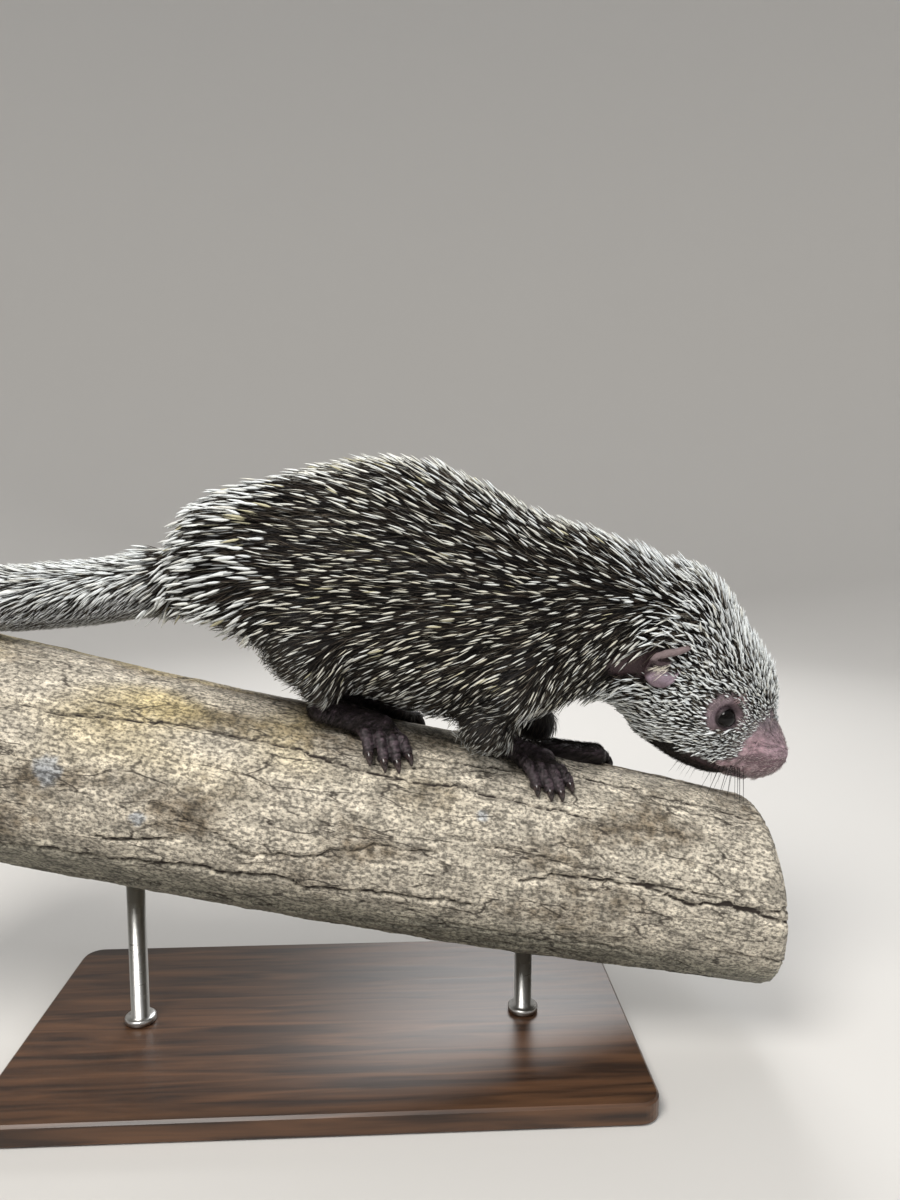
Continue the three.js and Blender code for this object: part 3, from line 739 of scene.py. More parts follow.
def bark_look():
    """Speckled bark: fine grain, fibres along the log, and painted shade in hairline cracks and in the
    open cracks.
    """
    look = Look("bark", Roughness=0.85)

    def cloud(stretch, detail, output="Fac"):
        return look.noise(log_place(look, stretch), 1.0, detail, output, Roughness=0.62)

    speckle = cloud((2.6, 1.7, 1.7), 3.0)
    colour = look.stored("tint")
    colour = look.shaded(colour, look.spread(speckle, 0.4, 0.59, 0.28, 1.22), 0.9)
    mottle = cloud((16.0, 9.0, 9.0), 5.0)
    colour = look.shaded(colour, look.spread(mottle, 0.35, 0.65, 0.55, 1.22), 0.9)
    fibre = cloud((26.0, 1.8, 1.8), 4.0)
    colour = look.shaded(colour, look.spread(fibre, 0.35, 0.6, 0.62, 1.14), 0.8)

    # Hairline cracks: thin dark lines of painted shade, broken into pieces.
    stretch = (60.0, 14.0, 14.0)
    warped = look.add("VectorMath", "Vector", {
        0: cloud(stretch, 4.0, "Color"), 1: (0.5, 0.9, 0.9), 2: log_place(look, stretch),
    }, operation="MULTIPLY_ADD")
    cells = look.add("TexVoronoi", "Distance", {"Scale": 1.0, "Vector": warped},
                     feature="DISTANCE_TO_EDGE")
    broken = cloud((30.0, 20.0, 20.0), 2.0)
    hairline = look.add("Math", "Value", {
        0: look.spread(cells, 0.008, 0.03, 0.85, 0.0), 1: look.spread(broken, 0.44, 0.54, 0.0, 1.0),
    }, operation="MULTIPLY")
    colour = look.covered(colour, BARK_CRACK_SHADE, hairline)

    # Painted shade inside the open cracks cut into the bark.
    ragged = cloud((3.5, 2.5, 2.5), 4.0)
    edge = look.add("Math", "Value", {0: ragged, 1: 0.15, 2: look.add(
        "Attribute", "Fac", {}, attribute_name="crack")}, operation="MULTIPLY_ADD")
    colour = look.covered(colour, BARK_CRACK_SHADE, look.spread(edge, 0.075, 0.17, 1.0, 0.0))
    return look.finish(colour, speckle, 0.8, 0.0011)


def stand_wood_look():
    """Dark stained wood with a fine straight grain."""
    look = Look("stand_wood", Roughness=0.35)
    grain = look.noise(look.place(Scale=(6.0, 90.0, 90.0)), 1.6, 7.0, Distortion=0.6)
    return look.finish(look.between(grain, *STAND_WOOD), grain, 0.25, 0.0004)


def stand_metal_look():
    """Brushed steel, its lines running round the rods."""
    look = Look("stand_metal", Metallic=1.0)
    lines = look.noise(look.place(Scale=(40.0, 40.0, 2200.0)), 1.0, 3.0)
    look.fill(look.shader, {"Roughness": look.spread(lines, 0.0, 1.0, 0.2, 0.42)})
    return look.finish(STAND_STEEL)


# The skin.

def coat_depth(points, normals, kinds):
    """How far the skin lies inside the tips of the coat, in millimetres."""
    x, _, z = points.T
    up = normals[:, 2]
    body = np.interp(up, [-0.8, -0.2, 0.3, 0.9], [6.0, 8.0, 9.5, 11.5])
    body += 2.0 * ramp(-x, 110.0, 150.0)
    head = np.interp(x, [120.0, 160.0, 190.0, 208.0], [8.0, 5.5, 3.5, 1.0])
    head *= np.interp(up, [-0.6, 0.2, 0.8], [0.7, 0.85, 1.05])
    head *= 1.0 - 0.72 * bare_edge(points)
    tail = np.interp(-x, [180.0, 240.0, 330.0, 370.0], [8.0, 5.5, 4.0, 3.0])
    tail *= np.interp(up, [-0.8, 0.0, 0.8], [0.45, 0.8, 1.0])
    tail = np.where(z < 30.0, 2.6, tail)
    leg = np.interp(z, [70.0, 90.0, 120.0], [2.0, 4.0, 8.0])
    depths = {"body": body, "head": head, "nose": 0.3, "tail": tail, "leg": leg, "foot": 0.5}
    return sum(kinds[:, i] * depths[kind] for i, kind in enumerate(KINDS)) + GAP_FILL


def kind_shares(points, edges, trees, rounds):
    """How much each point belongs to the body, head, nose, tail, legs and feet."""
    reach = np.stack([distances(trees[kind], points) for kind in KINDS], axis=1)
    shares = np.eye(len(KINDS))[reach.argmin(axis=1)]
    return smoothed(shares, edges, rounds)


def share_of(kinds, name):
    """How much each point belongs to one part of the body."""
    return kinds[:, KINDS.index(name)]


def build_skin_form():
    """The skin before its colours: the flesh nodes in one, sunk to below the coat, and the feet."""
    grown = []
    trees = {}
    for kind, nodes in FLESH.items():
        parts = [cad_arrays(node) for node in nodes]
        trees[kind] = tree_of(*joined(parts))
        if kind != "foot":
            grown += [(part[0] + GAP_FILL * point_normals(*part), part[1]) for part in parts]
    points, triangles = remeshed(*joined(grown), COARSE_VOXEL)
    edges = edges_of(triangles)
    kinds = kind_shares(points, edges, trees, 8)
    delicate = np.clip(share_of(kinds, "nose"), 0.0, 0.85)
    points = smoothed(points, edges, 12, 0.5 * (1.0 - delicate))
    normals = unit(smoothed(point_normals(points, triangles), edges, 4))
    points = points - normals * coat_depth(points, normals, kinds)[:, None]
    points, triangles = remeshed(points, triangles, FINE_VOXEL)
    edges = edges_of(triangles)
    kinds = kind_shares(points, edges, trees, 3)
    points = smoothed(points, edges, 5)
    fine = (share_of(kinds, "nose") > 0.3) | near_eye(points, 3.2)
    points, triangles = refined(points, triangles, fine)
    points = smoothed(points, edges_of(triangles), 2, 0.4)
    for reach in (2.4, 1.7):
        points, triangles = refined(points, triangles, near_eye(points, reach))
    points = shaped_face(points, triangles)
    feet = [foot_form(foot, side) for foot in (FOREFOOT, HINDFOOT) for side in (-1.0, 1.0)]
    return *joined([(points, triangles), *feet]), trees


def log_radius(x):
    return np.interp(x, [LOG_LEFT, LOG_RIGHT], LOG_RADII)


def over_bark(points):
    """How far over the bark each place lies."""
    return np.hypot(points[:, 1], points[:, 2]) - log_radius(points[:, 0])


def log_lump(x, angle):
    """How far the log stands out of an even cone: lumps, and a belly below."""
    slow = np.sin(2.0 * angle + x / LOG_LUMP_REACH[0])
    quick = np.sin(3.0 * angle - x / LOG_LUMP_REACH[1])
    lump = (slow + LOG_LUMP_SHARE * quick) / (1.0 + LOG_LUMP_SHARE)
    below = np.maximum(0.0, -np.cos(angle))
    along = (x - LOG_LEFT) / (LOG_RIGHT - LOG_LEFT)
    return LOG_LUMP * lump + LOG_BELLY * below * np.sin(math.pi * along)


def over_log(x, degrees, height, side):
    """A point over the bark, at an angle from the top of the log."""
    angle = math.radians(degrees)
    reach = log_radius(x) + height
    return np.array([x, side * reach * math.sin(angle), reach * math.cos(angle)])


def toe_stations(foot, index, side):
    """A toe's middle line over the bark: inside the sole, over its two knuckles to its tip."""
    forward = foot["left_forward"] if side > 0 else 0.0
    root, tip = foot["toe_roots"][index] + forward, foot["toe_tips"][index] + forward
    low, high = foot["root_angle"], foot["toe_angles"][index]
    radius = foot["toe_radius"]
    marks = [(-0.75, -7.0, 1.2, 0.95), (-0.1, 0.0, 3.2, 1.0), (0.35, 0.36, 4.4, 1.04),
             (0.62, 0.62, 3.0, 0.9), (0.86, 0.86, 1.9, 0.95), (1.04, 1.05, 0.5, 0.84)]
    stations = []
    for along, turn, height, size in marks:
        degrees = low + turn if turn < 0.0 else low + turn * (high - low)
        x = root + (tip - root) * along
        stations.append((*over_log(x, degrees, height + radius, side), radius * size))
    return np.array(stations)


def toe_lines(foot, side):
    """The smooth middle lines of a foot's toes."""
    return [smooth_line(toe_stations(foot, index, side), 22) for index in range(4)]


def toe_places(points, foot, side):
    """How far each point is from the nearest toe's line and the next one's, and how far along."""
    reach, along = [], []
    for toe in toe_lines(foot, side):
        gap = np.linalg.norm(points[:, None] - toe[None, :, :3], axis=2)
        reach.append(gap.min(axis=1))
        along.append(gap.argmin(axis=1) / (len(toe) - 1))
    reach, along = np.array(reach), np.array(along)
    order = np.argsort(reach, axis=0)
    number = np.arange(len(points))
    return reach[order[0], number], reach[order[1], number], along[order[0], number]


def toe_gap(points, foot, side):
    """1 in the middle of the gap between two toes, beyond the sole."""
    nearest, second, along = toe_places(points, foot, side)
    return np.exp(-((second - nearest) / 1.1) ** 2) * ramp(along, 0.15, 0.4) * (nearest < 6.0)


def toe_creases(points, foot, side):
    """1 in the creases that run across the toes."""
    nearest, _, along = toe_places(points, foot, side)
    turn = along * TOE_LENGTH * 2.0 * math.pi / TOE_CREASE_STEP + 1.6 * noise_at(points, 2.4)
    return ramp(np.sin(turn), 0.35, 0.95) * ramp(along, 0.15, 0.3) * (nearest < 6.0)


def foot_form(foot, side):
    """A foot: a flat sole on the bark and four toes that curl over its side."""
    size = foot["left_size"] if side > 0 else 1.0
    middle = over_log(0.0, foot["root_angle"], 0.0, side)
    along_bark = np.array([0.0, middle[2], -middle[1]])
    stations = foot["left_sole"] if side > 0 else foot["sole"]
    sole = np.array([over_log(x, degrees, height, side) for x, degrees, height in stations])
    line = smooth_line(sole, 14)
    width = foot["half_width"] / foot["half_height"] * (foot["left_wide"] if side > 0 else 1.0)
    parts = [tube(line, np.full(14, foot["half_height"] * size), 20, along_bark, width)]
    for index, toe in enumerate(toe_lines(foot, side)):
        parts.append(tube(toe[:, :3], toe[:, 3], 16))
        tip = toe[-1]
        pad = over_log(tip[0] - 0.6, foot["toe_angles"][index], foot["toe_radius"] * 0.55, side)
        parts.append(tube([pad - [1.2, 0, 0], pad + [1.2, 0, 0]], [2.5, 2.5], 10))
    points, triangles = remeshed(*joined(parts), FOOT_VOXEL)
    edges = edges_of(triangles)
    points = smoothed(points, edges, 2, 0.5)
    normals = smoothed(point_normals(points, triangles), edges, 2)
    change = 0.2 * noise_at(points, 2.2, 9.0) - TOE_CREASE * toe_creases(points, foot, side)
    change -= TOE_GROOVE * toe_gap(points, foot, side)
    return smoothed(points + normals * change[:, None], edges, 1, 0.3), triangles


def claw_line(foot, index, side):
    """A claw's middle line: out of the toe's tip, arched, and down to the bark."""
    forward = foot["left_forward"] if side > 0 else 0.0
    tip, claw = foot["toe_tips"][index] + forward, foot["claws"][index] + forward
    low, high = foot["toe_angles"][index], foot["claw_angles"][index]
    marks = [(-0.35, 2.5, 2.3), (0.05, 3.7, 2.65), (0.38, 4.1, 2.4), (0.64, 3.3, 1.85),
             (0.84, 1.9, 0.9)]
    stations = []
    for share, height, radius in marks:
        x = tip + (claw - tip) * share
        degrees = low + (high - low) * share
        stations.append((*over_log(x, degrees, height, side), radius))
    return smooth_line(stations, 16)


def eye_frame():
    """The eye's outward, long and high directions on the left side."""
    outward = unit(EYE_OUTWARD)
    long = unit(EYE_LONG - outward * (EYE_LONG @ outward))
    return outward, long, np.cross(long, outward)


def eye_places(points):
    """Places in the nearer eye's own directions, and how far out on its oval they lie."""
    outward, long, high = eye_frame()
    offset = mirrored(points) - EYE_AT
    along, across, out = offset @ long, offset @ high, offset @ outward
    return along, across, out, np.hypot(along / EYE_HALF_LONG, across / EYE_HALF_HIGH)


def near_eye(points, reach):
    """Whether each place is within this reach of an eye, its oval's rim being 1."""
    _, _, out, round_eye = eye_places(points)
    return (round_eye < reach) & (out > -9.0)


def moved_along_eye(points, change):
    """The points moved along the way the nearer eye looks."""
    outward, _, _ = eye_frame()
    side = np.where(points[:, 1] < 0.0, -1.0, 1.0)
    direction = np.tile(outward, (len(points), 1))
    direction[:, 1] *= side
    return points + direction * change[:, None]


def shaped_eyes(points):
    """Lids that hug the eyeball, with a fold round them, and an opening that shows it."""
    along, across, out, round_eye = eye_places(points)
    reach = np.hypot(along, across)
    ball = np.sqrt(np.maximum(BALL_RADIUS ** 2 - reach ** 2, 0.0)) - BALL_SUNK
    lid = ball + LID_THICK
    behind = ball - 2.2
    target = lid + (behind - lid) * (1.0 - ramp(round_eye, 0.94, 1.02))
    share = 1.0 - ramp(round_eye, 1.12, 1.85)
    change = (target - out) * share
    change -= LID_FOLD * np.exp(-((round_eye - 1.66) / 0.14) ** 2)
    change += 0.2 * np.exp(-((round_eye - 1.95) / 0.2) ** 2)
    change *= near_eye(points, 3.2)
    return moved_along_eye(points, change)


def mouth_distance(points):
    return gaps_to_line(mirrored(points), MOUTH_LINE).min(axis=1)


def nostril_distance(points):
    """1 on the rim of the nearer nostril."""
    return np.linalg.norm((mirrored(points) - NOSTRIL_AT) / NOSTRIL_HALF, axis=1)


def shaped_face(points, triangles):
    """Lids, mouth, lips, nostrils and the folds of the nose."""
    points = shaped_eyes(points)
    x, y, z = points.T
    mouth = mouth_distance(points)
    nostril = nostril_distance(points)
    slit = np.exp(-(mouth / MOUTH_WIDTH) ** 2)
    lips = np.exp(-((mouth - 3.4) / 1.8) ** 2)
    wings = np.exp(-((nostril - 1.5) / 0.35) ** 2)
    groove = np.exp(-(y / 1.1) ** 2) * ramp(x, 228.0, 238.0) * ramp(-z, -97.0, -92.0)
    bare = ramp(quill_line_distance(points), 0.0, 6.0)
    bridge = np.hypot(x - NOSE_BRIDGE[0], z - NOSE_BRIDGE[1])
    change = ramp(x, 140.0, 160.0) * (0.9 * lips - MOUTH_DEPTH * slit)
    change += LIP_PAD_HEIGHT * lip_pads(points)
    change += 0.7 * wings - 3.4 * (1.0 - ramp(nostril, 0.55, 1.1)) - 0.9 * groove
    change += NOSE_FOLD * nose_streaks(points) * bare
    change -= NOSE_BRIDGE_SINK * np.exp(-(bridge / NOSE_BRIDGE_REACH) ** 2)
    return points + point_normals(points, triangles) * change[:, None]


def in_oval(points, oval):
    """How far out on an oval each place lies, seen from the side: 1 on its rim."""
    (centre_x, centre_z), half_long, half_high, tilt = oval
    x = points[:, 0] - centre_x
    z = points[:, 2] - centre_z
    along = x * math.cos(tilt) + z * math.sin(tilt)
    across = z * math.cos(tilt) - x * math.sin(tilt)
    return np.hypot(along / half_long, across / half_high)


def nose_streaks(points, finer=1.0):
    """From -1 to 1: streaks that run back over the nose from its front."""
    up, back = points[:, 2] - NOSE_FRONT[2], NOSE_FRONT[0] - points[:, 0]
    turn = np.arctan2(up, back)
    reach = np.hypot(up, back)
    place = np.stack([turn * 9.0 * finer, reach / 16.0 * finer, np.sign(points[:, 1]) * 3.0], axis=1)
    return np.clip(1.6 * noise_at(place, 1.0), -1.0, 1.0)


def quill_line_distance(points):
    """How far in front of the line where the quills end and the bare nose starts."""
    x, y, z = points.T
    line, height = np.array(NOSE_EDGE).T
    peak = NOSE_PEAK * np.maximum(0.0, 1.0 - (y / NOSE_PEAK_HALF) ** 2) * ramp(z, 104.0, 118.0)
    return x - np.interp(z, height, line) - peak


def below_quills(points):
    """1 on throat, chin and lips, below the line where the white quills end."""
    x, _, z = points.T
    edge = np.interp(x, *np.array(QUILL_EDGE).T)
    return ramp(edge - z, -1.0, 2.0) * ramp(x, 122.0, 138.0)


def lip_share(points):
    """1 on the bare upper lip, between the quills and the mouth."""
    x, _, z = points.T
    line = np.array(MOUTH_LINE, float)[::-1]
    above = z - np.interp(x, line[:, 0], line[:, 2])
    return ramp(above, 0.5, 2.0) * ramp(x, 182.0, 188.0) * below_quills(points)


def lip_pads(points):
    """1 in the middle of each pad of the upper lip."""
    pads = np.zeros(len(points))
    for x, z in LIP_PADS:
        reach = np.hypot(points[:, 0] - x, points[:, 2] - z) / LIP_PAD_REACH
        pads = np.maximum(pads, np.exp(-reach ** 2))
    return pads * to_the_side(points)


def soft_share(points):
    """1 where the hair is pale and soft, just behind the bare nose."""
    behind_nose = ramp(quill_line_distance(points), -13.0, -2.0) * ramp(points[:, 0], 175.0, 192.0)
    return behind_nose * (1.0 - below_quills(points))


def in_eye_patch(points):
    """How far out on the bare patch round the nearer eye each place lies: 1 on its edge."""
    return in_oval(points, EYE_PATCH) + 9.0 * (1.0 - to_the_side(points))


def bare_edge(points):
    """How near a place is to bare skin: 1 at its edge and 0 some millimetres off."""
    eye = 1.0 - ramp(in_eye_patch(points), 0.95, 1.8)
    nose = ramp(quill_line_distance(points), -9.0, 0.0) * ramp(points[:, 0], 170.0, 190.0)
    return np.maximum(eye, np.maximum(nose, below_quills(points)))


def unwrap(made):
    """A bake map over the skin's own shape. Gives the places of each triangle's corners."""
    made.data.uv_layers.new(name="OFBake")
    bpy.context.view_layer.objects.active = made
    made.select_set(True)
    bpy.ops.object.mode_set(mode="EDIT")
    bpy.ops.mesh.select_all(action="SELECT")
    bpy.ops.uv.smart_project(angle_limit=math.radians(66.0), island_margin=0.002)
    bpy.ops.object.mode_set(mode="OBJECT")
    made.select_set(False)
    places = np.zeros(len(made.data.loops) * 2, np.float32)
    made.data.uv_layers["OFBake"].data.foreach_get("uv", places)
    return places.reshape(-1, 3, 2).astype(float)


def skin_colours(points, kinds):
    """Near black below the coat, with the bare skin of nose, eyes, mouth, ears and feet."""
    x, _, z = points.T
    side = to_the_side(points)
    colours = np.tile(linear(SKIN_DARK), (len(points), 1))
    behind_ear = 1.0 - ramp(in_oval(points, BEHIND_EAR), 0.7, 1.3)
    colours = mix(colours, linear(SKIN_EAR_BACK), side * behind_ear)
    colours = mix(colours, linear(SKIN_NOSE_TOP), 0.8 * soft_share(points))
    patch = mix(linear(SKIN_EYE_PATCH_LOW), linear(SKIN_EYE_PATCH), ramp(z, 106.0, 118.0))
    patch = patch * (1.0 + 0.4 * noise_at(points, 2.2))[:, None]
    colours = mix(colours, patch, 1.0 - ramp(in_eye_patch(points), 0.95, 1.4))
    corner = 1.0 - ramp(in_oval(points, EYE_CORNER), 0.4, 1.3)
    colours = mix(colours, linear(SKIN_EYE_CORNER), side * corner * 0.85)
    _, _, out, round_eye = eye_places(points)
    colours = mix(colours, linear(SKIN_LID), (1.0 - ramp(round_eye, 1.04, 1.34)) * (out > -9.0))
    bare_nose = ramp(quill_line_distance(points), -3.0, 1.0) * ramp(x, 175.0, 190.0)
    colours = mix(colours, nose_colours(points), bare_nose)
    # Painted shade inside the nostrils.
    nostril = 1.0 - ramp(nostril_distance(points), 0.6, 1.15)
    colours = mix(colours, linear(SKIN_MOUTH) * 0.5, nostril)
    jaw = ramp(-z, -92.0, -84.0) * ramp(x, 140.0, 160.0)
    colours = mix(colours, linear(SKIN_MOUTH), jaw * (1.0 - bare_nose) * 0.8)
    lip = linear(SKIN_LIP) * (1.0 + 0.25 * noise_at(points, 2.5))[:, None]
    lip = mix(lip, linear(SKIN_LIP_PAD), lip_pads(points))
    colours = mix(colours, lip, np.maximum(lip_share(points), lip_pads(points)))
    # Painted shade along the mouth line, where the lips meet.
    mouth = np.exp(-(mouth_distance(points) / 1.9) ** 2) * ramp(x, 150.0, 165.0)
    colours = mix(colours, linear(SKIN_MOUTH) * 0.6, mouth)
    footed = share_of(kinds, "foot")
    return mix(colours, foot_colours(points, footed > 0.0), ramp(footed, 0.3, 0.7))


def nose_colours(points):
    """Streaked pink, paler on the sides, greyer on top and darker towards the mouth."""
    z = points[:, 2]
    nose = mix(linear(SKIN_NOSE_LOW), linear(SKIN_NOSE), ramp(z, 80.0, 98.0))
    beside = 1.0 - ramp(in_oval(points, NOSE_SIDE), 0.2, 1.2)
    nose = mix(nose, linear(SKIN_NOSE_SIDE), 0.8 * beside * to_the_side(points))
    nose = mix(nose, linear(SKIN_NOSE_TOP), ramp(z, 104.0, 122.0))
    return nose * (1.0 + 0.36 * nose_streaks(points) + 0.7 * nose_streaks(points, 3.1))[:, None]


def foot_colours(points, some):
    """Dark purple-brown skin, mottled and with a painted highlight on the toes' backs, and painted
    shade near black between the toes and in their creases.
    """
    pale = 0.35 + 0.55 * noise_at(points, 3.4) + 0.9 * noise_at(points, 1.3, 4.0)
    # The pale mottling is kept to the raised backs of the toes: a painted highlight.
    pale *= ramp(over_bark(points), 4.0, 8.5)
    colours = mix(linear(SKIN_FOOT), linear(SKIN_KNUCKLE_MOTTLE_AND_HIGHLIGHT), np.clip(pale, 0.0, 1.0))
    # Painted shade between the toes and in the creases across them.
    dark = np.zeros(len(points))
    for foot in (FOREFOOT, HINDFOOT):
        for side in (-1.0, 1.0):
            here = some & (points[:, 1] * side > 0.0)
            here &= (points[:, 0] > 0.0) == (foot is FOREFOOT)
            shades = toe_gap(points[here], foot, side), 0.7 * toe_creases(points[here], foot, side)
            dark[here] = np.maximum(*shades)
    return mix(colours, linear(SKIN_DARK) * 0.5, 0.85 * dark)


skin_points, skin_triangles, flesh_trees = build_skin_form()
skin = new_object("skin", skin_points, skin_triangles)
skin_normals = point_normals(skin_points, skin_triangles)
skin_edges = edges_of(skin_triangles)
skin_kinds = kind_shares(skin_points, skin_edges, flesh_trees, 12)
skin_tree = tree_of(skin_points, skin_triangles)
skin_map = unwrap(skin)
skin_material = skin_look()
skin.data.materials.append(skin_material)
add_colours(skin.data, "tint", skin_colours(skin_points, skin_kinds))
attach(skin, BODY)
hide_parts(*[node for nodes in FLESH.values() for node in nodes])


# The coat.

def surface_samples(points, triangles, count, weight, rng):
    """Random places on the skin, as triangle numbers and corner shares."""
    corner = points[triangles]
    face = np.cross(corner[:, 1] - corner[:, 0], corner[:, 2] - corner[:, 0])
    area = np.linalg.norm(face, axis=1) * weight[triangles].mean(axis=1)
    total = np.cumsum(area)
    chosen = np.searchsorted(total, rng.random(count) * total[-1])
    first = np.sqrt(rng.random(count))
    second = rng.random(count)
    shares = np.stack([1.0 - first, first * (1.0 - second), first * second], axis=1)
    return np.minimum(chosen, len(triangles) - 1), shares


def spread_out(places, spacing):
    """The places that stand at least their spacing from those kept before them."""
    tree = KDTree(len(places))
    for number, place in enumerate(places.tolist()):
        tree.insert(place, number)
    tree.balance()
    gone = np.zeros(len(places), bool)
    kept = []
    for number, place in enumerate(places.tolist()):
        if gone[number]:
            continue
        kept.append(number)
        for _, other, _ in tree.find_range(place, spacing[number]):
            gone[other] = True
    return np.array(kept)


def body_lie(points):
    """The lie of the coat on body and legs: backwards, and ever more downwards towards the feet."""
    x, _, z = points.T
    drop = np.interp(z, [75.0, 100.0, 130.0, 160.0, 195.0, 235.0], [64.0, 44.0, 22.0, 6.0, -2.0, -4.0])
    middle = np.interp(z, [95.0, 120.0, 160.0, 200.0], [0.6, 1.0, 1.0, 0.0])
    drop = drop + middle * np.interp(
        x, [-180.0, -130.0, -70.0, 20.0, 75.0, 120.0], [16.0, 12.0, 2.0, 4.0, 24.0, 28.0])
    drop = np.radians(drop)
    return np.stack([-np.cos(drop), np.zeros_like(x), -np.sin(drop)], axis=1)


def tail_lie(points, normals):
    """Along the tail towards its tip, and downwards on its sides where it is in the air."""
    along = unit(np.diff(np.array(TAIL_LINE), axis=0))[gaps_to_line(points, TAIL_LINE).argmin(axis=1)]
    side = 1.0 - np.abs(normals[:, 2])
    droop = np.where(points[:, 2] > 40.0, TAIL_DROOP * side, 0.0)
    return unit(along - droop[:, None] * np.array([0.0, 0.0, 1.0]))


def along_head(points):
    """How far down the head each place lies, from the nape towards the nose."""
    ahead, up = points[:, 0] - NAPE_AT[0], points[:, 2] - NAPE_AT[1]
    return ahead * HEAD_DOWN[0] - up * HEAD_DOWN[1]


def lie_of_coat(points, normals, kinds):
    """The way the quills lie over the skin, from the head's to the body's and the tail's."""
    headed = ramp(along_head(points), 0.0, 46.0) * (1.0 - share_of(kinds, "leg"))
    tailed = ramp(-points[:, 0], 168.0, 200.0)
    lie = mix(body_lie(points), unit(points - HEAD_STREAM_FROM), headed)
    lie = mix(lie, tail_lie(points, normals), tailed)
    return along_surface(lie, normals)


def quill_lines(roots, lies, lengths, heights, stiff, rise, shares):
    """Points along each quill: it leaves the skin at a slope and its tip stands over the skin.

    Roots are places on the skin and the ways it faces there.
    """
    root, facing = roots
    place = root.copy()
    normal = facing.copy()
    ahead = lies.copy()
    for _ in range(MARCH_STEPS):
        target = place + ahead * (lengths / MARCH_STEPS)[:, None]
        for number, spot in enumerate(target.tolist()):
            place[number], normal[number], _, _ = skin_tree.find_nearest(spot)
        ahead = along_surface(ahead, normal)
    slope = unit(lies + facing * rise[:, None])
    tips = mix(place + normal * heights[:, None], root + slope * lengths[:, None], stiff)
    bend = root + slope * (0.42 * lengths)[:, None]
    low = root - facing * ROOT_SINK
    share = shares[..., None]
    return ((1.0 - share) ** 2 * low[:, None] + 2.0 * share * (1.0 - share) * bend[:, None]
            + share ** 2 * tips[:, None])


def quill_solids(lines, radii, colours, sides, normals):
    """Closed spindles round the lines: rings of a few sides, a flat root and a pointed tip."""
    count, stations, _ = lines.shape
    rings = stations - 1
    along = unit(lines[:, -1] - lines[:, 0])
    across = unit(np.cross(along, normals))
    upward = np.cross(across, along)
    turns = turns_of(sides)
    circle = (np.cos(turns)[None, :, None] * across[:, None]
              + np.sin(turns)[None, :, None] * upward[:, None])
    ring_points = lines[:, :rings, None] + radii[:, :rings, None, None] * circle[:, None]
    points = np.concatenate([ring_points.reshape(count, rings * sides, 3), lines[:, -1:]], axis=1)
    tint = np.concatenate([np.repeat(colours[:, :rings], sides, axis=1), colours[:, -1:]], axis=1)
    starts = sides * np.arange(rings)
    number = np.arange(sides)
    tip = np.stack([number, (number + 1) % sides, np.full(sides, sides)], axis=1) + starts[-1]
    root = fan(sides)[:, [0, 2, 1]]
    return points, np.concatenate([bands(starts, sides), tip, root]), tint


def own_cells(places, rng):
    """A cell of the bake map for each quill, at its root's place and shared with no other."""
    cells = np.clip((places * BAKE_CELLS).astype(int), 0, BAKE_CELLS - 1)
    for _ in range(200):
        number = cells[:, 0] * BAKE_CELLS + cells[:, 1]
        _, first = np.unique(number, return_index=True)
        shared = np.ones(len(cells), bool)
        shared[first] = False
        if not shared.any():
            break
        moved = cells[shared] + rng.integers(-2, 3, (shared.sum(), 2))
        cells[shared] = np.clip(moved, 0, BAKE_CELLS - 1)
    return cells


def bake_places(cells, zones, sides):
    """Where each point of each quill lies on the bake map: round it across, root to tip up."""
    count, stations = zones.shape
    round_share = np.tile(np.arange(sides) / (sides - 1), (count, stations - 1))
    u = np.concatenate([round_share, np.full((count, 1), 0.5)], axis=1)
    v = np.concatenate([np.repeat(zones[:, :-1], sides, axis=1), zones[:, -1:]], axis=1)
    inside = np.stack([u, v], axis=2) * (1.0 - 2.0 * BAKE_MARGIN) + BAKE_MARGIN
    return (cells[:, None, :] + inside) / BAKE_CELLS


class Coat:
    """Collects quills and hairs and deals them out to pieces that each span the whole animal."""

    def __init__(self):
        self.batches = []

    def add(self, lines, radii, colours, zones, sides, normals, places):
        """Zones are where the rings of a quill lie on the bake map, and places where its root does."""
        points, triangles, tint = quill_solids(lines, radii, colours, sides, normals)
        zones = np.tile(zones, (len(lines), 1))
        self.batches.append((points, triangles, tint, zones, sides, places))

    def build(self, rng):
        total = sum(len(points) * len(triangles) for points, triangles, *_ in self.batches)
        pieces = math.ceil(total / COAT_PIECE_TRIANGLES)
        for piece in range(pieces):
            self.build_piece(f"coat_{piece + 1}", slice(piece, None, pieces), rng)

    def build_piece(self, name, share, rng):
        cells = own_cells(np.concatenate([batch[5][share] for batch in self.batches]), rng)
        points, triangles, tints, places = [], [], [], []
        start = 0
        first = 0
        for spots, pattern, tint, zones, sides, _ in self.batches:
            spots, zones = spots[share], zones[share]
            count, size, _ = spots.shape
            offsets = start + size * np.arange(count)
            points.append(spots.reshape(-1, 3))
            triangles.append((pattern[None] + offsets[:, None, None]).reshape(-1, 3))
            tints.append(tint[share].reshape(-1, 3))
            places.append(bake_places(cells[first:first + count], zones, sides).reshape(-1, 2))
            start += count * size
            first += count
        triangles = np.concatenate(triangles)
        coat = new_object(name, np.concatenate(points), triangles)
        add_colours(coat.data, "tint", np.concatenate(tints))
        bake = coat.data.uv_layers.new(name="OFBake")
        spots = np.concatenate(places)[triangles.ravel()]
        bake.data.foreach_set("uv", spots.astype(np.float32).ravel())
        coat.data.materials.append(coat_material)
        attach(coat, BODY)


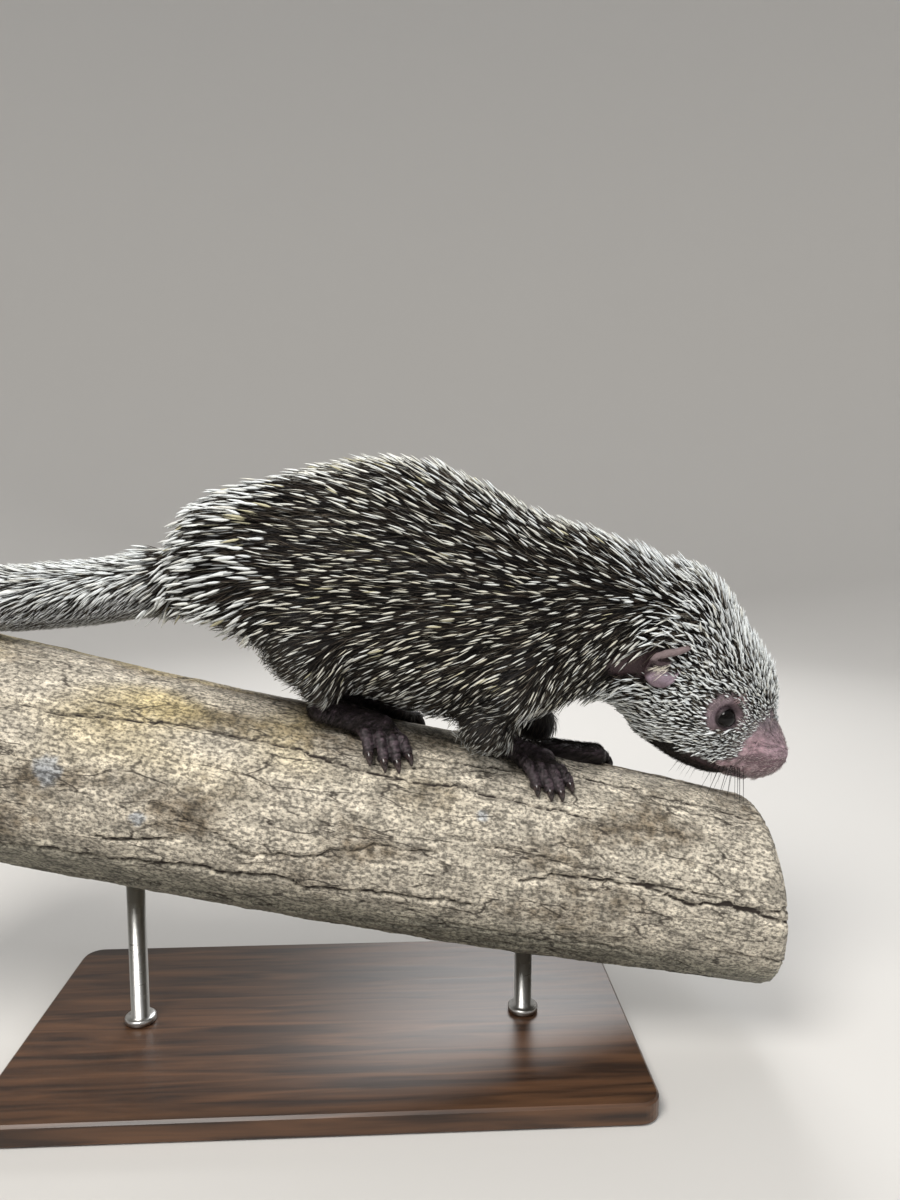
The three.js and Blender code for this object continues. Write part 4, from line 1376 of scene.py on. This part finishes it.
def areas_of(points, normals, kinds):
    """How much each place belongs to each typical place of the coat."""
    x, _, z = points.T
    up = normals[:, 2]
    body, head, nose, tail, leg, foot = (share_of(kinds, name) for name in KINDS)
    rump = ramp(-x, 80.0, 118.0)
    top = ramp(up, 0.15, 0.75)
    belly = ramp(-up, 0.5, 0.85)
    chest = ramp(x, 40.0, 95.0) * ramp(-z, -175.0, -145.0)
    low = ramp(-z, -132.0, -98.0)
    tail_top = ramp(up, -0.15, 0.4)
    tail_low = ramp(-up, 0.35, 0.75)
    nape = 1.0 - ramp(along_head(points), 12.0, 50.0)
    muzzle = ramp(along_head(points), 68.0, 96.0)
    brow = ramp(along_head(points), 62.0, 90.0)
    crown = ramp(up, -0.05, 0.55)
    throat = below_quills(points)
    neck = ramp(x, 85.0, 125.0) * ramp(z, 150.0, 185.0)
    side = body * (1.0 - belly) * (1.0 - chest)
    fore = side * (1.0 - rump) * (1.0 - neck)
    face = head * (1.0 - nape) * (1.0 - throat)
    share = {
        "rump": side * rump * (1.0 - low),
        "back": fore * top,
        "flank": fore * (1.0 - top) + side * rump * low * 0.3,
        "chest": body * (1.0 - belly) * chest,
        "belly": body * belly,
        "leg": leg + side * low * 0.9,
        "nape": side * (1.0 - rump) * neck + head * nape,
        "crown": face * (1.0 - brow) * crown,
        "brow": face * brow * crown,
        "cheek": face * (1.0 - muzzle) * (1.0 - crown),
        "muzzle": face * muzzle * (1.0 - crown) + nose,
        "throat": head * throat,
        "tail_top": tail * tail_top,
        "tail_side": tail * (1.0 - tail_top - tail_low),
        "tail_low": tail * tail_low,
        "foot": foot,
    }
    stacked = np.stack([share[name] for name in AREAS], axis=1)
    return stacked / np.maximum(stacked.sum(axis=1, keepdims=True), 1e-6)


def recipe(areas, name):
    """One measure of the coat, between those of its typical places."""
    return areas @ np.array([float(COAT_KINDS[area][name]) for area in AREAS])


def bare_share(points, kinds):
    """Where no quills and hairs grow: round the eyes, at the ears, on nose, lips and feet."""
    bare = 1.0 - ramp(in_eye_patch(points) + 0.2 * noise_at(points, 3.5, 2.0), 0.8, 1.08)
    for oval in BARE_BY_EAR:
        bare = np.maximum(bare, to_the_side(points) * (1.0 - ramp(in_oval(points, oval), 0.85, 1.1)))
    nose = ramp(quill_line_distance(points), -1.5, 1.5) * ramp(points[:, 0], 170.0, 190.0)
    mouth = 1.0 - ramp(mouth_distance(points), 2.0, 3.5)
    bare = np.max([bare, nose, lip_share(points), mouth], axis=0)
    angle = np.degrees(np.arctan2(np.abs(points[:, 1]), points[:, 2]))
    furred = (1.0 - ramp(angle, 25.0, 32.0)) * ramp(over_bark(points), 4.0, 7.0)
    return np.maximum(bare, ramp(share_of(kinds, "foot"), 0.4, 0.6) * (1.0 - 0.9 * furred))


def dark_share(points, normals, kinds):
    """Where only dark hair grows: throat, feet, belly and inside the legs; and a band on the back with
    fewer pale quills, a painted shadow.
    """
    x, y, z = points.T
    inner = ramp(-normals[:, 1] * np.sign(y), -0.25, 0.2) * share_of(kinds, "leg")
    # A painted shadow: a band across the back where pale quills are thinned out.
    painted_shadow_band = 0.6 * np.exp(-((x + 93.0) / 17.0) ** 4) * ramp(z, 140.0, 175.0)
    belly = 0.7 * ramp(-normals[:, 2], 0.55, 0.85) * share_of(kinds, "body")
    foot = ramp(share_of(kinds, "foot"), 0.15, 0.5)
    return np.max([below_quills(points), inner, painted_shadow_band, belly, foot], axis=0)


class Roots:
    """Places on the skin from which quills or hairs grow. Allowed is how much each point may."""

    def __init__(self, count, spacing, rng, allowed):
        areas = areas_of(skin_points, skin_normals, skin_kinds)
        weight = allowed / recipe(areas, "spacing") ** 2
        chosen, shares = surface_samples(skin_points, skin_triangles, count, weight, rng)
        self.pick(chosen, shares)
        wide = self.typical("spacing") * spacing
        kept = spread_out(self.points, wide * rng.uniform(0.75, 1.1, len(wide)))
        keep = rng.random(len(kept)) < self.blend(allowed)[kept] * 1.4
        self.pick(chosen[kept[keep]], shares[kept[keep]])

    def blend(self, values):
        """The points' values at the roots."""
        shares = self.shares if values.ndim == 1 else self.shares[..., None]
        return (values[self.corners] * shares).sum(axis=1)

    def pick(self, chosen, shares):
        self.corners = skin_triangles[chosen]
        self.shares = shares
        self.count = len(chosen)
        self.points = self.blend(skin_points)
        self.normals = unit(self.blend(skin_normals))
        self.kinds = self.blend(skin_kinds)
        self.areas = areas_of(self.points, self.normals, self.kinds)
        self.lies = lie_of_coat(self.points, self.normals, self.kinds)
        self.places = (skin_map[chosen] * shares[..., None]).sum(axis=1)

    def typical(self, name):
        """What the recipes of the coat say for these places."""
        return recipe(self.areas, name)

    def area(self, name):
        """How much each root belongs to one typical place of the coat."""
        return self.areas[:, AREAS.index(name)]


def ruffled(roots, rng, turn):
    """The lie of the coat with each quill turned a little, and tufts turned together."""
    face = share_of(roots.kinds, "head")
    angle = rng.normal(0.0, turn, roots.count) * (1.0 + face)
    angle += TUFT_TURN * noise_at(roots.points, TUFT_SIZE)
    angle += FACE_TURN * face * noise_at(roots.points, FACE_TUFT_SIZE)
    across = np.cross(roots.normals, roots.lies)
    return unit(roots.lies * np.cos(angle)[:, None] + across * np.sin(angle)[:, None])


def tip_colours(roots, rng, dark, bright):
    """Bluish white on head and rump, cream on the flanks, grey on the sides of the tail. The tips get
    painted shade in the deeper layer and low on the body, and painted light on the head and tail.
    """
    area, count = roots.area, roots.count
    creamy = area("flank") * 0.65 + area("chest") * 0.6 + area("back") * 0.35 + area("leg") * 0.4
    creamy = np.clip(creamy + rng.normal(0.0, 0.2, count), 0.0, 1.0)
    colours = mix(linear(TIP_WHITE), linear(TIP_CREAM), creamy)
    clump = noise_at(roots.points, 11.0, 31.0) + rng.normal(0.0, 0.12, count)
    yellowish = (clump > 0.5) * (area("flank") + area("back") + area("rump")) > 0.5
    colours[yellowish] = linear(TIP_YELLOW)
    greyish = area("tail_side") + area("tail_low") + 0.35 * area("belly")
    colours = mix(colours, linear(TIP_GREY), np.clip(greyish, 0.0, 1.0))
    # Each tip's shade lies at random between its layer's dark and bright; the deeper layer's low range
    # is painted shade.
    shade = dark + (bright - dark) * rng.random(count)
    # Painted light: tips on the head and on the tail's underside and sides are lifted towards full
    # brightness.
    even = share_of(roots.kinds, "head") + area("tail_low") + 0.5 * area("tail_side")
    shade += 0.5 * even * (1.0 - shade)
    # Painted shade: tips on the legs, chest, belly and flanks are darkened.
    painted_shade = area("leg") + 0.6 * area("chest") + area("belly") + 0.3 * area("flank")
    shade *= 1.0 - 0.5 * np.clip(painted_shade, 0.0, 1.0)
    return colours * shade[:, None]


def quill_shares(start, shape):
    """How far along each quill its rings lie. Its pale tip begins at the start."""
    rest = 1.0 - start
    tips = [start + share * rest for share in shape["tip"]]
    rings = [0.0 * rest, start - shape["edge"], start + shape["edge"], *tips, 0.0 * rest + 1.0]
    return np.stack(rings, axis=1)


def add_quills(coat, roots, rng, layer):
    """The pale-tipped quills: dark shafts that swell into white spindles."""
    typical, count = roots.typical, roots.count
    near_bare = bare_edge(roots.points) * share_of(roots.kinds, "head") * (1.0 - roots.area("brow"))
    length = typical("length") * rng.uniform(0.82, 1.12, count) * layer["length"]
    length *= 1.0 - 0.25 * near_bare
    width = typical("width") * rng.uniform(0.5, 1.2, count) * layer["size"]
    tip = typical("tip") * rng.uniform(0.65, 1.15, count) * (0.5 + 0.5 * layer["size"])
    height = typical("height") * rng.uniform(layer["low"], layer["high"], count)
    height *= 1.0 - 0.5 * near_bare
    raised = noise_at(roots.points, RAISED_SIZE, 17.0) + rng.normal(0.0, 0.2, count)
    height *= 1.0 + RAISED * raised
    stiff = typical("stiff") * np.clip(1.0 + 1.2 * raised, 0.2, 1.9)
    rise = typical("rise") * rng.uniform(0.8, 1.2, count)
    lies = ruffled(roots, rng, 0.09)
    start = 1.0 - np.clip(tip / length, 0.15, 0.75)
    pale = tip_colours(roots, rng, layer["dark"], layer["bright"])
    dark = mix(linear(QUILL_DARK), linear(QUILL_BROWN), rng.random((count, 1)) ** 3)
    dark = mix(dark, linear(HAIR_SOFT), 0.6 * soft_share(roots.points))
    for thick, shape in QUILL_SHAPES.items():
        some = (width >= THICK_FROM) == thick
        normals = roots.normals[some]
        lines = quill_lines(
            (roots.points[some], normals), lies[some], length[some], height[some],
            stiff[some], rise[some], quill_shares(start[some], shape))
        radii = 0.5 * width[some][:, None] * np.array(shape["swell"])
        pale_rings = len(shape["swell"]) - 2
        colours = np.stack([dark[some]] * 2 + [pale[some]] * pale_rings, axis=1)
        coat.add(lines, radii, colours, shape["zones"], shape["sides"], normals, roots.places[some])


def add_hairs(coat, roots, rng):
    """Dark and grey-brown hairs and shafts that fill the coat between the pale quills."""
    typical, count = roots.typical, roots.count
    length = typical("length") * rng.uniform(0.6, 1.0, count)
    height = typical("height") * rng.uniform(0.25, 0.88, count)
    width = np.clip(typical("width") * 0.5, 0.28, 0.75) * rng.uniform(0.6, 1.15, count)
    rise = typical("rise") * rng.uniform(0.7, 1.2, count)
    lies = ruffled(roots, rng, 0.16)
    plain = roots.area("throat") + roots.area("foot")
    grey = rng.random((count, 1)) ** 2.8 * (1.0 - 0.75 * np.clip(plain, 0.0, 1.0)[:, None])
    dark = mix(linear(QUILL_DARK), linear(HAIR_GREY), grey[:, 0])
    dark = mix(dark, linear(HAIR_SOFT), 0.8 * soft_share(roots.points) * rng.random(count))
    pale = rng.random(count) < HAIR_PALE * (1.0 - plain)
    tip = np.where(pale[:, None], mix(dark, linear(TIP_CREAM), 0.6), dark)
    zones = [0.0, 0.5, 1.0]
    lines = quill_lines((roots.points, roots.normals), lies, length, height,
                        typical("stiff"), rise, np.tile(zones, (count, 1)))
    radii = 0.5 * width[:, None] * np.array([0.8, 0.9, 0.0])
    colours = np.stack([dark, dark, tip], axis=1)
    coat.add(lines, radii, colours, zones, 3, roots.normals, roots.places)


def add_strands(coat, lines, widths, colour):
    """Single fine hairs along the given lines, thinner towards their tips."""
    lines = np.asarray(lines)
    count, stations, _ = lines.shape
    normals = np.zeros((count, 3))
    places = np.zeros((count, 2))
    for number, root in enumerate(lines[:, 0].tolist()):
        _, normals[number], triangle, _ = skin_tree.find_nearest(root)
        places[number] = skin_map[triangle].mean(axis=0)
    zones = np.linspace(0.0, 1.0, stations)
    radii = 0.5 * np.asarray(widths)[:, None] * np.sqrt(1.0 - zones)
    colours = np.broadcast_to(linear(colour), (count, stations, 3))
    coat.add(lines, radii, colours, zones, 3, normals, places)


def add_whiskers(coat, rng):
    """Black whiskers that hang from the upper lip, and finer ones further up the muzzle."""
    lines, widths = [], []
    along = np.linspace(0.0, 1.0, 7)[:, None]
    for side in (-1.0, 1.0):
        for number in range(WHISKERS):
            share = number / (WHISKERS - 1)
            spot = np.array([187.0 + 20.0 * share + rng.uniform(-1.0, 1.0), 24.0 * side,
                             rng.uniform(82.5, 87.0)])
            root = np.array(skin_tree.find_nearest(spot.tolist())[0])
            length = rng.uniform(19.0, 29.0)
            out = unit(np.array([-0.42 + 0.6 * share + rng.normal(0.0, 0.06), 0.4 * side, -0.75]))
            sag = np.array([0.0, -0.08 * side, -0.16]) * length
            lines.append(root + out * length * along + sag * along ** 2)
            widths.append(rng.uniform(0.42, 0.58))
    add_strands(coat, lines, widths, WHISKER)


def add_nose_hairs(coat, rng):
    """Fine pale hairs that lie back over the bare nose and lip, and sparse ones by the eyes."""
    nose = ramp(quill_line_distance(skin_points), -1.0, 1.0) * ramp(skin_points[:, 0], 185.0, 195.0)
    patch = (in_eye_patch(skin_points) < 1.0) * ramp(eye_places(skin_points)[3], 1.5, 1.9)
    fine = np.max([nose, lip_share(skin_points), patch], axis=0)
    fine *= ramp(nostril_distance(skin_points), 1.2, 1.8)
    fine *= share_of(skin_kinds, "head") + share_of(skin_kinds, "nose")
    roots = Roots(NOSE_HAIR_ROOTS, 0.6, rng, fine)
    lies = along_surface(unit(roots.points - NOSE_FRONT), roots.normals)
    lies = unit(lies + rng.normal(0.0, 0.12, (roots.count, 3)))
    length = rng.uniform(2.0, 5.0, roots.count)
    along = np.array([0.0, 0.55, 1.0])
    rise = np.array([-0.2, 0.3, 0.6])
    lines = (roots.points[:, None] + lies[:, None] * (length[:, None] * along)[..., None]
             + roots.normals[:, None] * rise[None, :, None])
    shade = rng.uniform(0.2, 1.0, (roots.count, 1, 1))
    colours = np.broadcast_to(linear(NOSE_HAIR), (roots.count, 3, 3)) * shade
    radii = rng.uniform(0.09, 0.15, (roots.count, 1)) * np.array([1.0, 0.9, 0.0])
    coat.add(lines, radii, colours, along, 3, roots.normals, roots.places)


def add_ear_hairs(coat, rng):
    """Pale hairs that grow out of the bowl of the ear, down and back."""
    lines, widths = [], []
    along = np.linspace(0.0, 1.0, 5)[:, None]
    for side in (-1.0, 1.0):
        for _ in range(EAR_HAIRS):
            root = np.array([rng.uniform(128.5, 134.5), side * rng.uniform(45.0, 47.5),
                             rng.uniform(140.5, 146.0)])
            length = rng.uniform(6.0, 11.0)
            out = unit(np.array([rng.normal(-0.85, 0.2), side * rng.uniform(0.25, 0.6),
                                 rng.normal(-0.3, 0.3)]))
            sag = np.array([-0.1, -0.2 * side, -0.2]) * length
            lines.append(root + out * length * along + sag * along ** 2)
            widths.append(rng.uniform(0.26, 0.4))
    add_strands(coat, lines, widths, EAR_TUFT)


rng = np.random.default_rng(SEED)
coat_material = coat_look()
coat = Coat()
covered = 1.0 - bare_share(skin_points, skin_kinds)
pale_from = covered * (1.0 - dark_share(skin_points, skin_normals, skin_kinds))
for layer in QUILL_LAYERS:
    quill_roots = Roots(layer["count"], layer["spacing"], rng, pale_from)
    add_quills(coat, quill_roots, rng, layer)
add_hairs(coat, Roots(HAIR_ROOTS, HAIR_SPACING, rng, covered), rng)
add_whiskers(coat, rng)
add_nose_hairs(coat, rng)
add_ear_hairs(coat, rng)
coat.build(rng)


# Eyes, claws and ears.

def object_of_rings(name, rows):
    """A surface through rings of points."""
    rows = np.asarray(rows)
    count, size, _ = rows.shape
    return new_object(name, rows.reshape(-1, 3), squares(size * np.arange(count), size))


def build_eye(name, side):
    """A ball that fills the lids, turned so that its even poles are hidden."""
    outward, long, high = eye_frame()
    turns = turns_of(48)[:, None]
    belt = np.cos(turns) * high[None] + np.sin(turns) * outward[None]
    rings = [math.cos(tilt) * long[None] + math.sin(tilt) * belt
             for tilt in math.pi * np.arange(33) / 32]
    rows = EYE_AT - outward * BALL_SUNK + BALL_RADIUS * np.array(rings)
    rows = rows * [1.0, side, 1.0]
    if side > 0:
        rows = rows[:, ::-1]
    eye = object_of_rings(name, rows)
    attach(eye, BODY)
    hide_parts(name)
    eye.data.materials.append(eye_material)


def build_claw(name, foot, index, side):
    """A horn claw, higher than wide, in the place of the frame's."""
    line = claw_line(foot, index, side)
    upward = unit(line[8, :3] * [0.0, 1.0, 1.0])
    claw = new_object(name + "_horn", *tube(line[:, :3], line[:, 3], 14, upward, 1.12))
    claw.data.materials.append(claw_material)
    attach(claw, BODY)
    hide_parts(name)


def ear_sheet(rim):
    """The bowl inside the rim, with the soft lobe that bulges below it, as a thin closed shell."""
    count = len(rim)
    shares = np.linspace(0.0, 1.0, 12)
    layers = []
    for thick in (0.0, EAR_WALL):
        for share in shares:
            row = mix(rim[:, :3], EAR_CENTRE, np.full(count, share))
            deep = 1.0 - (1.0 - share) ** 2
            lobe = 1.0 - ramp(row[:, 2], 137.0, 144.5)
            bowl = mix(rim[:, 1], EAR_CENTRE[1], deep)
            puff = rim[:, 1] - EAR_LOBE_PUFF * math.sin(math.pi * min(1.0, 1.4 * share))
            row[:, 1] = bowl + (puff - bowl) * lobe + thick
            layers.append(row)
    starts = count * np.arange(len(shares))
    outer = bands(starts, count)[:, ::-1]
    inner = bands(starts + count * len(shares), count)
    edge = bands([0, count * len(shares)], count)
    return np.concatenate(layers), np.concatenate([outer, inner, edge])


def build_ear(name, side):
    """A thin cupped ear: a thick upper fold, a small one below it, a bowl and a soft lobe."""
    rim = smooth_line(EAR_RIM + EAR_RIM[:1], 79)[:-1]
    inner = smooth_line(EAR_INNER, 20)
    parts = [tube(rim[:, :3], rim[:, 3], 10, closed=True), ear_sheet(rim),
             tube(inner[:, :3], inner[:, 3], 10)]
    points, triangles = remeshed(*joined(parts), EAR_VOXEL)
    points = smoothed(points, edges_of(triangles), 3, 0.5)
    points = points + point_normals(points, triangles) * (0.25 * noise_at(points, 3.0))[:, None]
    points = points * [1.0, -side, 1.0]
    if side > 0:
        triangles = triangles[:, ::-1]
    ear = new_object(name + "_fold", points, triangles)
    add_colours(ear.data, "tint", ear_colours(points))
    ear.data.materials.append(skin_material)
    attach(ear, BODY)
    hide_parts(name)


def ear_colours(points):
    """Brownish pink on the upper fold, lilac on the lobe, maroon behind, and painted shade in the bowl
    and below the upper fold.
    """
    x, y, z = points.T
    colours = mix(linear(EAR_LOBE), linear(EAR_FOLD), ramp(z, 141.0, 148.0))
    colours = colours * (1.0 + 0.22 * noise_at(points, 3.5))[:, None]
    behind = ramp(-x, -124.5, -120.5) * ramp(147.5 - z, 0.0, 3.0)
    colours = mix(colours, linear(SKIN_EAR_BACK), 0.8 * behind)
    colours = mix(colours, linear(SKIN_EAR_BACK), 0.7 * ramp(-z, -135.5, -131.5))
    # Painted shade in the bowl of the ear and below its upper fold.
    bowl = (1.0 - ramp(np.abs(y), 43.0, 47.5)) * ramp(z, 139.0, 144.0)
    shaded = ramp(z - 134.5 - 0.85 * (x - 121.0), -1.0, 3.0) * ramp(147.0 - z, 0.0, 1.5)
    return mix(colours, linear(EAR_BOWL_SHADE), np.maximum(bowl, 0.9 * shaded))


eye_material = mottled_look("eye", EYE_COLOURS, 260.0, Roughness=0.04, IOR=1.31)
claw_material = mottled_look("claw", CLAW_COLOURS, 420.0, Roughness=0.22)
build_eye("eye_right", -1.0)
build_eye("eye_left", 1.0)
build_ear("ear_right", -1.0)
build_ear("ear_left", 1.0)
for kind, foot in (("fore", FOREFOOT), ("hind", HINDFOOT)):
    for side_name, side in (("right", -1.0), ("left", 1.0)):
        for index in range(4):
            build_claw(f"claw_{kind}_{side_name}_{index + 1}", foot, index, side)


# The log and the stand.

def crack_paths(rng):
    """Cracks along the bark: places along the log, angles and half widths."""
    paths = []
    for number in range(LONG_CRACKS + SHORT_CRACKS):
        long = number < LONG_CRACKS
        length = rng.uniform(220.0, 560.0) if long else rng.uniform(30.0, 120.0)
        start = rng.uniform(LOG_LEFT - 60.0, LOG_RIGHT - 0.35 * length)
        x = np.arange(start, start + length, 2.5)
        steps = rng.normal(0.0, 0.5, len(x)) + rng.normal(0.0, 0.05 if long else 0.2)
        steps += np.where(rng.random(len(x)) < 0.1, rng.normal(0.0, 2.0, len(x)), 0.0)
        first = number / LONG_CRACKS + rng.uniform(-0.3, 0.3) / LONG_CRACKS if long else rng.random()
        around = first * 2.0 * math.pi + np.cumsum(steps) / LOG_RADII[0]
        taper = np.sin(math.pi * np.linspace(0.0, 1.0, len(x))) ** 0.35
        wide = rng.uniform(0.35, 0.9) if long else rng.uniform(0.1, 0.4)
        width = wide * taper * rng.uniform(0.35, 1.25, len(x))
        paths.append((x, around, width))
    return paths


def angle_between(first, second):
    """The turn from the second angle to the first, by the shorter way."""
    return (first - second + math.pi) % (2.0 * math.pi) - math.pi


def crack_distance(x, angle, paths):
    """How far each place lies outside the nearest crack, in millimetres, up to CRACK_REACH."""
    nearest = np.full(len(x), CRACK_REACH)
    for places, angles, widths in paths:
        inside = (x >= places[0] - 3.0) & (x <= places[-1] + 3.0)
        some = x[inside]
        gap = np.abs(angle_between(angle[inside], np.interp(some, places, angles))) * LOG_MIDDLE_RADIUS
        beyond = np.maximum(places[0] - some, 0.0) + np.maximum(some - places[-1], 0.0)
        gap = np.hypot(gap, beyond) - np.interp(some, places, widths)
        nearest[inside] = np.minimum(nearest[inside], gap)
    return nearest


def log_points(x, angle, height):
    """Points of the log's surface, with the frame's slanting cut at the right end."""
    reach = log_radius(x) + log_lump(x, angle) + height
    upward = reach * np.cos(angle)
    slant = ramp(x, LOG_RIGHT - LOG_CUT_REACH, LOG_RIGHT)
    return np.stack([x - upward * math.tan(LOG_CUT_SLANT) * slant,
                     reach * np.sin(angle), upward], axis=1)


def bark_colours(points, angle):
    """Pale grey-tan with yellower and browner patches, greyer below, and a few pale lichens."""
    slow = noise_at(points * [0.4, 1.0, 1.0], 26.0)
    other = noise_at(points * [0.5, 1.0, 1.0], 34.0, 7.0)
    quick = noise_at(points, 5.0, 3.0)
    up = np.cos(angle)
    colours = mix(linear(BARK_PALE), linear(BARK_BROWN), ramp(slow + 0.35 * quick, 0.0, 0.7))
    yellow = ramp(other, -0.35, 0.45) * ramp(up, 0.1, 0.85) * ramp(-points[:, 0], -60.0, 90.0)
    colours = mix(colours, linear(BARK_YELLOW), 0.7 * yellow)
    colours = mix(colours, linear(BARK_GREY), 0.85 * ramp(-up, 0.3, 0.7))
    spots = np.zeros(len(points))
    for x, degrees, radius in LICHENS:
        gap = angle_between(angle, -math.radians(degrees))
        reach = np.hypot(points[:, 0] - x, gap * LOG_RADII[0]) / radius
        spots = np.maximum(spots, 1.0 - ramp(reach + 0.45 * quick, 0.75, 1.1))
    return mix(colours, linear(LICHEN), 0.7 * spots)


def bark_height(smooth, x, crack):
    """How far the bark stands out: swells, wrinkles, cracks with raised lips, and worn ends."""
    wrinkle = noise_at(smooth * [0.35, 1.0, 1.0], 3.4) + 0.6 * noise_at(smooth, 1.9, 5.0)
    swell = noise_at(smooth * [0.5, 1.0, 1.0], 14.0)
    height = 0.42 * wrinkle + 0.7 * swell - 2.1 * np.exp(-np.maximum(crack, 0.0) ** 2)
    height += 0.4 * np.exp(-((crack - 2.4) / 1.3) ** 2)
    from_end = np.minimum(x - LOG_LEFT, LOG_RIGHT - x)
    return height - 3.2 * (1.0 - ramp(from_end, 0.0, 5.0)) * (0.7 + 0.5 * swell)


def sawn_ring(rim, share, right):
    """A ring of points on a sawn end, and its colours: greyed wood inside a thin rim of bark."""
    ring = rim * [1.0, share, share]
    slant = math.tan(LOG_CUT_SLANT) if right else 0.0
    saw_marks = 0.25 * np.sin(ring[:, 2] * 0.9 + 0.08 * ring[:, 1])
    ring[:, 0] = (LOG_RIGHT if right else LOG_LEFT) - ring[:, 2] * slant + saw_marks
    stain = ramp(noise_at(ring, 20.0, 11.0), -0.2, 0.5)
    wood = mix(linear(SAWN_WOOD), linear(SAWN_STAIN), 0.8 * stain)
    return ring, mix(wood, linear(SAWN_RIM), ramp(np.full(len(ring), share), 0.935, 0.955))


def build_log(rng):
    """The bark, with cracks cut into it, and the two sawn ends."""
    rows = np.arange(LOG_LEFT, LOG_RIGHT + 0.1, LOG_ROW_STEP)
    x = np.repeat(rows, LOG_COLUMNS)
    angle = np.tile(turns_of(LOG_COLUMNS), len(rows))
    crack = crack_distance(x, angle, crack_paths(rng))
    smooth = log_points(x, angle, np.zeros(len(x)))
    side = log_points(x, angle, bark_height(smooth, x, crack))
    points, colours = [side], [bark_colours(smooth, angle)]
    starts = LOG_COLUMNS * np.arange(len(rows))
    triangles = [bands(starts, LOG_COLUMNS)]
    for right in (False, True):
        first = starts[-1] if right else 0
        rim = side[first:first + LOG_COLUMNS]
        inner = LOG_COLUMNS * (len(rows) + (len(SAWN_SHARES) if right else 0)
                               + np.arange(len(SAWN_SHARES)))
        for share in SAWN_SHARES:
            ring, shades = sawn_ring(rim, share, right)
            points.append(ring)
            colours.append(shades)
        end = np.concatenate([
            bands([first, *inner], LOG_COLUMNS), inner[-1] + fan(LOG_COLUMNS)])
        triangles.append(end if right else end[:, ::-1])
    points = np.concatenate(points)
    log = new_object("log_bark", points, np.concatenate(triangles))
    add_colours(log.data, "tint", np.concatenate(colours))
    depth = np.full((len(points), 1), 1.0)
    depth[:len(crack), 0] = crack / CRACK_REACH
    add_colours(log.data, "crack", depth)
    log.data.materials.append(bark_look())
    log.data.materials.append(sawn_look())
    sawn = np.arange(len(log.data.polygons)) >= len(triangles[0])
    log.data.polygons.foreach_set("material_index", sawn.astype(np.int32))
    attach(log, BODY)
    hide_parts("log_perch")


def turned(profile, sides, centre=(0.0, 0.0)):
    """Rings of points round an upright axis, from the reach and height of each."""
    turns = turns_of(sides)
    return np.array([
        np.stack([centre[0] + reach * np.cos(turns), centre[1] + reach * np.sin(turns),
                  np.full(sides, height)], axis=1) for reach, height in profile])


def build_rod(name):
    """A rod as the frame's, with finely rounded sides and a small collar on the base."""
    low, high = (np.array(corner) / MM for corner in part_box(name))
    radius = 0.5 * (high[0] - low[0])
    profile = [(radius * share, low[2] + height) for share, height in ROD_COLLAR]
    profile += [(radius, high[2]), (0.0, high[2])]
    rings = turned(profile, ROD_SIDES, 0.5 * (low + high)[:2])
    rod = object_of_rings(name + "_steel", to_log(rings * MM))
    rod.data.materials.append(metal_material)
    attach(rod, BODY)
    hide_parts(name)


build_log(rng)
metal_material = stand_metal_look()
build_rod("stand_rod_low")
build_rod("stand_rod_high")
base = frame["nodes"]["stand_base"]
base.data.materials.clear()
base.data.materials.append(stand_wood_look())


# The stage, lights and camera.

def build_stage():
    """A pale floor that rises in a round sweep into a wall on every side."""
    radius, height, sweep, sides = 2.6, 3.0, 0.9, 96
    profile = [(reach, 0.0) for reach in np.linspace(0.02, radius - sweep, 6)]
    for turn in np.linspace(0.0, math.pi / 2, 14)[1:]:
        profile.append((radius - sweep + sweep * math.sin(turn), sweep - sweep * math.cos(turn)))
    profile.append((radius, height))
    points = turned(profile, sides).reshape(-1, 3)
    faces = squares(sides * np.arange(len(profile)), sides).tolist() + [list(range(sides))]
    mesh = bpy.data.meshes.new("floor")
    mesh.from_pydata(points.tolist(), [], faces)
    mesh.shade_smooth()
    floor = bpy.data.objects.new("floor", mesh)
    bpy.context.scene.collection.objects.link(floor)
    look = Look("floor", Roughness=0.9)
    mesh.materials.append(look.finish(FLOOR_COLOUR))


def build_world():
    """Plain pale light from all sides."""
    world = bpy.data.worlds.new("studio")
    bpy.context.scene.world = world
    world.use_nodes = True
    back = world.node_tree.nodes["Background"]
    back.inputs["Color"].default_value = SKY_COLOUR
    back.inputs["Strength"].default_value = SKY_STRENGTH


def add_light(name, place, target, size, power, colour):
    data = bpy.data.lights.new(name, "AREA")
    data.shape = "DISK"
    data.size = size
    data.energy = power
    data.color = colour
    light = bpy.data.objects.new(name, data)
    light.location = place
    direction = Vector(target) - Vector(place)
    light.rotation_euler = direction.to_track_quat("-Z", "Y").to_euler()
    bpy.context.scene.collection.objects.link(light)
    return light


def build_camera():
    data = bpy.data.cameras.new("camera")
    data.lens = CAMERA_LENS
    data.sensor_width = 36.0
    data.sensor_fit = "AUTO"
    data.clip_start = 0.01
    camera = bpy.data.objects.new("camera", data)
    camera.location = Vector(CAMERA_PLACE) * MM
    camera.rotation_euler = Euler((math.pi / 2 - CAMERA_DOWN, 0.0, -CAMERA_RIGHT), "XYZ")
    bpy.context.scene.collection.objects.link(camera)
    bpy.context.scene.camera = camera


bpy.context.scene.view_settings.view_transform = "Standard"
build_stage()
build_world()
for name, facts in LIGHTS.items():
    light = add_light(name, *facts)
    light.visible_glossy = name != "fill"
build_camera()
